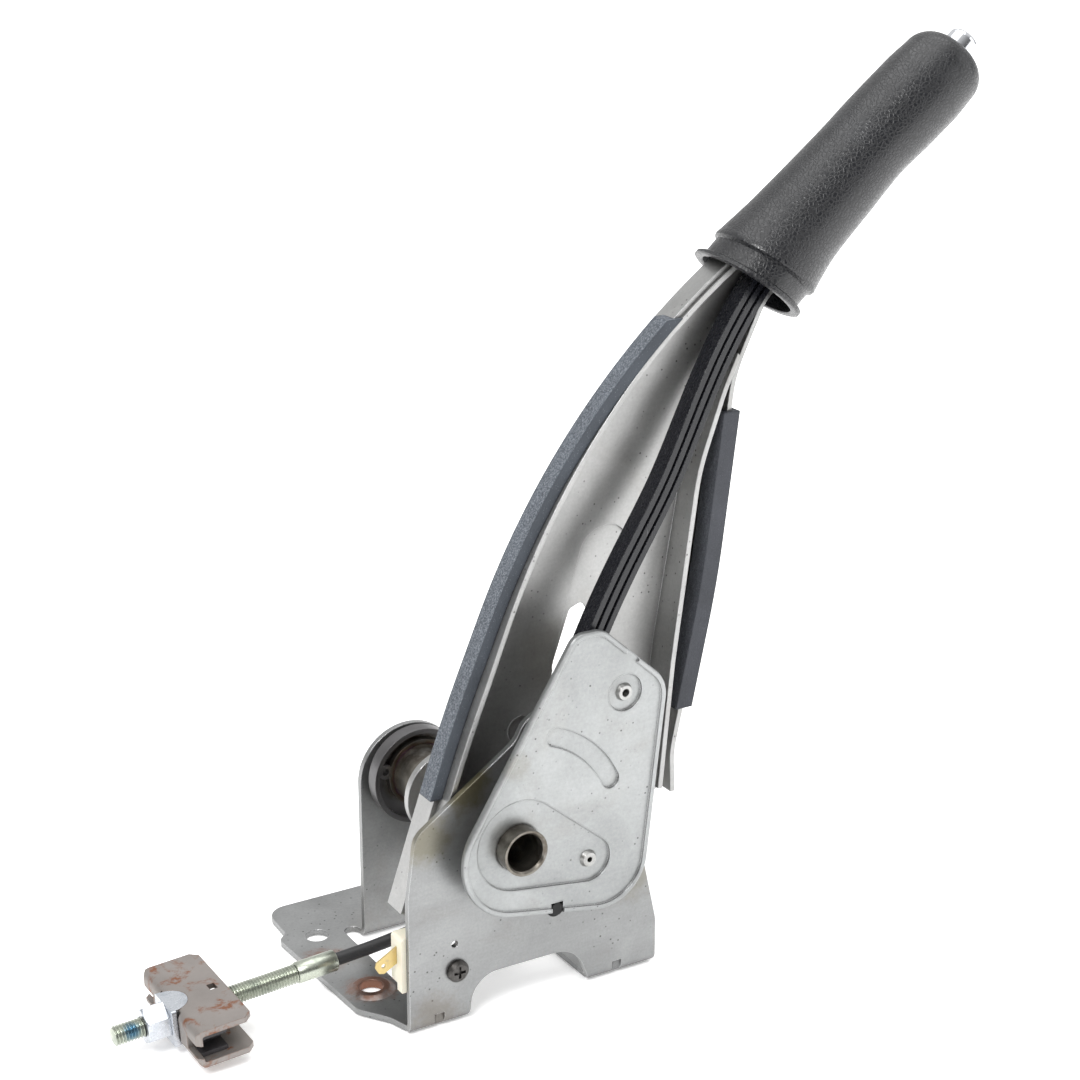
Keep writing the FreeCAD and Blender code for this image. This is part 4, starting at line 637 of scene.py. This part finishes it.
def grip_body(material):
    """Grip as one skin of rings, each (u, drop, radius, tilt).

    It comes out of the bore, round the flange and the neck, over the shoulder, along the swell, turns
    round the cap, whose u goes with the sine and whose radius with the cosine of the turn, and ends
    in the button's hole.
    """
    mouth = [
        (-4.0, MOUTH_BORE - 0.2),
        (FLANGE_FACE + 0.4, MOUTH_BORE),
        (FLANGE_FACE, MOUTH_BORE + 0.5),
        (FLANGE_FACE, FLANGE_RADIUS - 0.7),
        (FLANGE_FACE + 0.4, FLANGE_RADIUS),
        (FLANGE_BACK - 0.6, FLANGE_RADIUS),
        (FLANGE_BACK - 0.1, FLANGE_RADIUS - 0.7),
        (FLANGE_BACK, NECK_RADIUS + 0.4),
        (FLANGE_BACK + 0.4, NECK_RADIUS),
        (-0.9, NECK_RADIUS),
        (-0.3, NECK_RADIUS + 0.7),
    ]
    collar = [(u, 0, radius, MOUTH_TILT) for u, radius in mouth]
    shoulder = [
        (0.2, 0, 21.9, MOUTH_TILT - 0.1),
        (1.2, -0.02, 22.15, MOUTH_TILT - 0.3),
    ]
    swell_u = np.linspace(2.5, CAP_START, 90)
    swell = smooth_through([
        (0.0, 0.0, 22.2, MOUTH_TILT),
        (20.0, -0.3, 19.3, 3.5),
        (45.0, 0.2, 18.0, 0.0),
        (64.0, 0.4, 17.3, 0.0),
        (80.0, 1.6, 17.7, 0.0),
        (95.0, 2.7, 17.8, 0.0),
        (CAP_START, BUTTON_DROP, CAP_RADIUS, 0.0),
    ], swell_u)
    turn = np.radians(np.linspace(6.0, 80.0, 14))
    cap_u = CAP_START + (GRIP_LENGTH - CAP_START) * np.sin(turn)
    cap_radius = np.maximum(CAP_RADIUS - CAP_FALL * (1 - np.cos(turn)), BUTTON_HOLE + 0.6)
    cap = np.column_stack([cap_u, np.full_like(turn, BUTTON_DROP), cap_radius, np.zeros_like(turn)])
    rim = [
        (GRIP_LENGTH - 0.1, BUTTON_DROP, BUTTON_HOLE + 0.3, 0),
        (GRIP_LENGTH - 0.5, BUTTON_DROP, BUTTON_HOLE, 0),
        (GRIP_LENGTH - HOLE_DEPTH, BUTTON_DROP, BUTTON_HOLE, 0),
        (GRIP_LENGTH - HOLE_DEPTH, BUTTON_DROP, POLE, 0),
    ]
    rows = np.vstack([collar, shoulder, np.column_stack([swell_u, swell]), cap, rim])
    points = rings_along(rows[:, 0], rows[:, 1], rows[:, 2], rows[:, 3], GRIP_COLUMNS)
    piece = surface("grip_skin", points, material)
    dress(piece, "lever", "grip_plastic", "grip")


def button_body(material):
    """Button as a turned form: a cylinder, a quarter circle round its edge and a slightly crowned face."""
    end = GRIP_LENGTH + BUTTON_PROUD
    turn = np.radians(np.linspace(0, 90, 12))
    edge_u = end - BUTTON_EDGE + BUTTON_EDGE * np.sin(turn)
    edge_radius = BUTTON_RADIUS - BUTTON_EDGE + BUTTON_EDGE * np.cos(turn)
    face = np.array([(end + 0.12, 2.6), (end + 0.2, 1.2), (end + 0.22, POLE)])
    u = np.concatenate([[BUTTON_START, BUTTON_START, BUTTON_MIDDLE], edge_u, face[:, 0]])
    radius = np.concatenate([[POLE, BUTTON_RADIUS, BUTTON_RADIUS], edge_radius, face[:, 1]])
    points = rings_along(u, np.full_like(u, BUTTON_DROP), radius, np.zeros_like(u), BUTTON_COLUMNS)
    piece = surface("button_cap", points, material)
    dress(piece, "button", "chrome", "button")


def stud_rows(s, radius):
    """Rings round the stud's axis, at s from its tip; radius holds one value for each ring and column."""
    tilt = math.radians(STUD_TILT)
    turn = np.linspace(0, 2 * math.pi, STUD_COLUMNS, endpoint=False)
    side = radius * np.cos(turn)[None, :]
    rise = radius * np.sin(turn)[None, :]
    return np.stack([
        STUD_TIP[0] + s[:, None] * math.cos(tilt) - rise * math.sin(tilt),
        STUD_TIP[1] + side,
        STUD_TIP[2] + s[:, None] * math.sin(tilt) + rise * math.cos(tilt),
    ], axis=-1)


def stud_body(material):
    """Stud with its rolled thread and its ferrule.

    The thread is a helix: its radius is a triangle wave of s / pitch less the share of a turn, cut flat
    at crest and root. Near the tip the radius grows from TIP_SHARE of the stud's by s / TIP_TAPER.
    """
    turn = np.linspace(0, 1, STUD_COLUMNS, endpoint=False)
    s = np.arange(0.0, STUD_LENGTH, THREAD_PITCH / THREAD_STEPS)
    phase = (s[:, None] / THREAD_PITCH - turn[None, :]) % 1.0
    wave = np.clip(np.abs(phase * 2 - 1) * FLANK_SLOPE - ROOT_SHARE, 0, 1)
    lead = np.minimum(1.0, TIP_SHARE + s / TIP_TAPER)[:, None]
    thread = np.minimum(STUD_RADIUS - THREAD_DEPTH * (1 - wave), STUD_RADIUS * lead)
    start = STUD_LENGTH
    ferrule = np.array([
        (start, STUD_RADIUS - THREAD_DEPTH),
        (start, FERRULE_RADIUS - 0.3),
        (start + 0.3, FERRULE_RADIUS),
        (start + FERRULE_LENGTH - 0.5, FERRULE_RADIUS),
        (start + FERRULE_LENGTH, FERRULE_RADIUS - 0.4),
        (start + FERRULE_LENGTH, CABLE_SOCKET),
        (start + FERRULE_LENGTH - SOCKET_DEPTH, CABLE_SOCKET),
        (start + FERRULE_LENGTH - SOCKET_DEPTH, POLE),
    ])
    tip = np.full((1, STUD_COLUMNS), POLE)
    radius = np.vstack([tip, thread, np.repeat(ferrule[:, 1:], STUD_COLUMNS, axis=1)])
    places = np.concatenate([[0.0], s, ferrule[:, 0]])
    piece = surface("stud_and_ferrule", stud_rows(places, radius), material, 50.0)
    dress(piece, "pull_rod", "zinc_stud", "adjuster_stud")


def studio_floor():
    """Pale floor that lights itself more and more away from the part."""
    floor = bpy.data.meshes.new("studio_floor")
    low = CAD_BOX[0][2] - FLOOR_GAP
    corners = [(-1, -1), (1, -1), (1, 1), (-1, 1)]
    floor.from_pydata([(x * FLOOR_HALF, y * FLOOR_HALF, low) for x, y in corners], [], [(0, 1, 2, 3)])
    ground = Finish("studio_paper", tone(252, 252, 252), 0.95)
    ground.vary(ground.noise(3.0), 0.995, 1.005)
    ground.shader.inputs["Emission Color"].default_value = (1.0, 1.0, 1.0, 1.0)
    away = ground.nodes.new("ShaderNodeVectorMath")
    away.operation = "LENGTH"
    ground.feed(away.inputs[0], ground.place)
    glow = ground.nodes.new("ShaderNodeMapRange")
    glow.inputs["From Min"].default_value = GLOW_START
    glow.inputs["From Max"].default_value = GLOW_END
    glow.inputs["To Min"].default_value = GLOW_CENTRE
    glow.inputs["To Max"].default_value = GLOW_RIM
    ground.feed(glow.inputs["Value"], away.outputs["Value"])
    ground.feed(ground.shader.inputs["Emission Strength"], glow.outputs["Result"])
    floor.materials.append(ground.done())
    stage = bpy.data.objects.new("studio_floor", floor)
    bpy.context.scene.collection.objects.link(stage)


def studio_surround():
    """White surround that is bright behind and above the part."""
    world = bpy.data.worlds.new("studio_surround")
    world.use_nodes = True
    nodes = world.node_tree.nodes
    links = world.node_tree.links
    toward = nodes.new("ShaderNodeVectorMath")
    toward.operation = "DOT_PRODUCT"
    toward.inputs[1].default_value = BACKDROP_SIDE
    links.new(nodes.new("ShaderNodeTexCoord").outputs["Generated"], toward.inputs[0])
    share = nodes.new("ShaderNodeMapRange")
    share.interpolation_type = "SMOOTHSTEP"
    share.inputs["From Min"].default_value = BACKDROP_START
    share.inputs["From Max"].default_value = BACKDROP_FULL
    share.inputs["To Min"].default_value = ROOM_LIGHT
    share.inputs["To Max"].default_value = BACKDROP_LIGHT
    links.new(toward.outputs["Value"], share.inputs["Value"])
    nodes["Background"].inputs["Color"].default_value = (1.0, 1.0, 1.0, 1.0)
    links.new(share.outputs["Result"], nodes["Background"].inputs["Strength"])
    bpy.context.scene.world = world


def studio_lamps():
    """Soft panels that look at the origin."""
    for name, (place, size, power) in LAMPS.items():
        light = bpy.data.lights.new(name, "AREA")
        light.size = size
        light.energy = power
        lamp = bpy.data.objects.new(name, light)
        lamp.location = place
        lamp.rotation_mode = "QUATERNION"
        lamp.rotation_quaternion = (-Vector(place)).to_track_quat("-Z", "Y")
        bpy.context.scene.collection.objects.link(lamp)


def camera():
    """Camera at the photograph's place, angle and lens."""
    data = bpy.data.cameras.new("photo_camera")
    data.lens = CAMERA_LENS
    data.sensor_width = SENSOR_WIDTH
    data.clip_start = 0.01
    data.clip_end = 50.0
    view = bpy.data.objects.new("photo_camera", data)
    azimuth = math.radians(CAMERA_AZIMUTH)
    elevation = math.radians(CAMERA_ELEVATION)
    back = Vector((
        math.sin(azimuth) * math.cos(elevation),
        -math.cos(azimuth) * math.cos(elevation),
        math.sin(elevation),
    ))
    view.location = CAMERA_PLACE
    view.rotation_mode = "QUATERNION"
    view.rotation_quaternion = (-back).to_track_quat("-Z", "Y")
    bpy.context.scene.collection.objects.link(view)
    bpy.context.scene.camera = view


camera()
studio_floor()
studio_surround()
studio_lamps()
bpy.context.scene.view_settings.view_transform = "Standard"

wear(bracket_steel(), "bracket")
wear(channel_steel(), "lever_inner_channel", "lever_outer_channel", "cable_arm", "thrust_washer")
wear(cover_steel(), "ratchet_cover")
wear(turned_steel(), "pivot_tube", "lever_sleeve")
wear(disc_steel(), "end_disc")
wear(hard_steel(), "toothed_quadrant", "pawl")
wear(plated_steel("rivet_steel", tone(176, 176, 174), tone(140, 138, 134)).done(),
     "quadrant_rivets", "pawl_pin", "stop_pin", "cable_pin", "cable_eye", "pawl_spring")
wear(plated_steel("screw_steel", tone(92, 90, 88), tone(60, 58, 56), 0.36).done(), "switch_screw")
wear(plated_steel("bright_zinc", tone(206, 210, 216), tone(176, 182, 190), 0.22).done(),
     "adjuster_nut", "saddle")
wear(rusty_steel(), "equalizer")
wear(foam("front_foam", tone(60, 65, 72), 0.75), "front_trim_strip")
wear(foam("rear_foam", tone(58, 60, 66), 0.25), "rear_trim_strip")
wear(moulded_plastic("bumper_rubber", tone(20, 20, 21), 0.7), "rubber_bumper")
wear(moulded_plastic("rod_plastic", tone(21, 22, 27), 0.24), "release_rod", "grip_core", "button_stem")
wear(moulded_plastic("seat_plastic", tone(58, 56, 58), 0.5), "equalizer_blocks")
wear(cream_plastic(), "switch_body", "switch_plunger")
wear(blade_brass(), "switch_terminal")
wear(moulded_plastic("cable_sleeve", tone(40, 40, 42), 0.45), "cable")

grip_body(grained_plastic())
button_body(polished_chrome())
stud_body(stud_zinc())
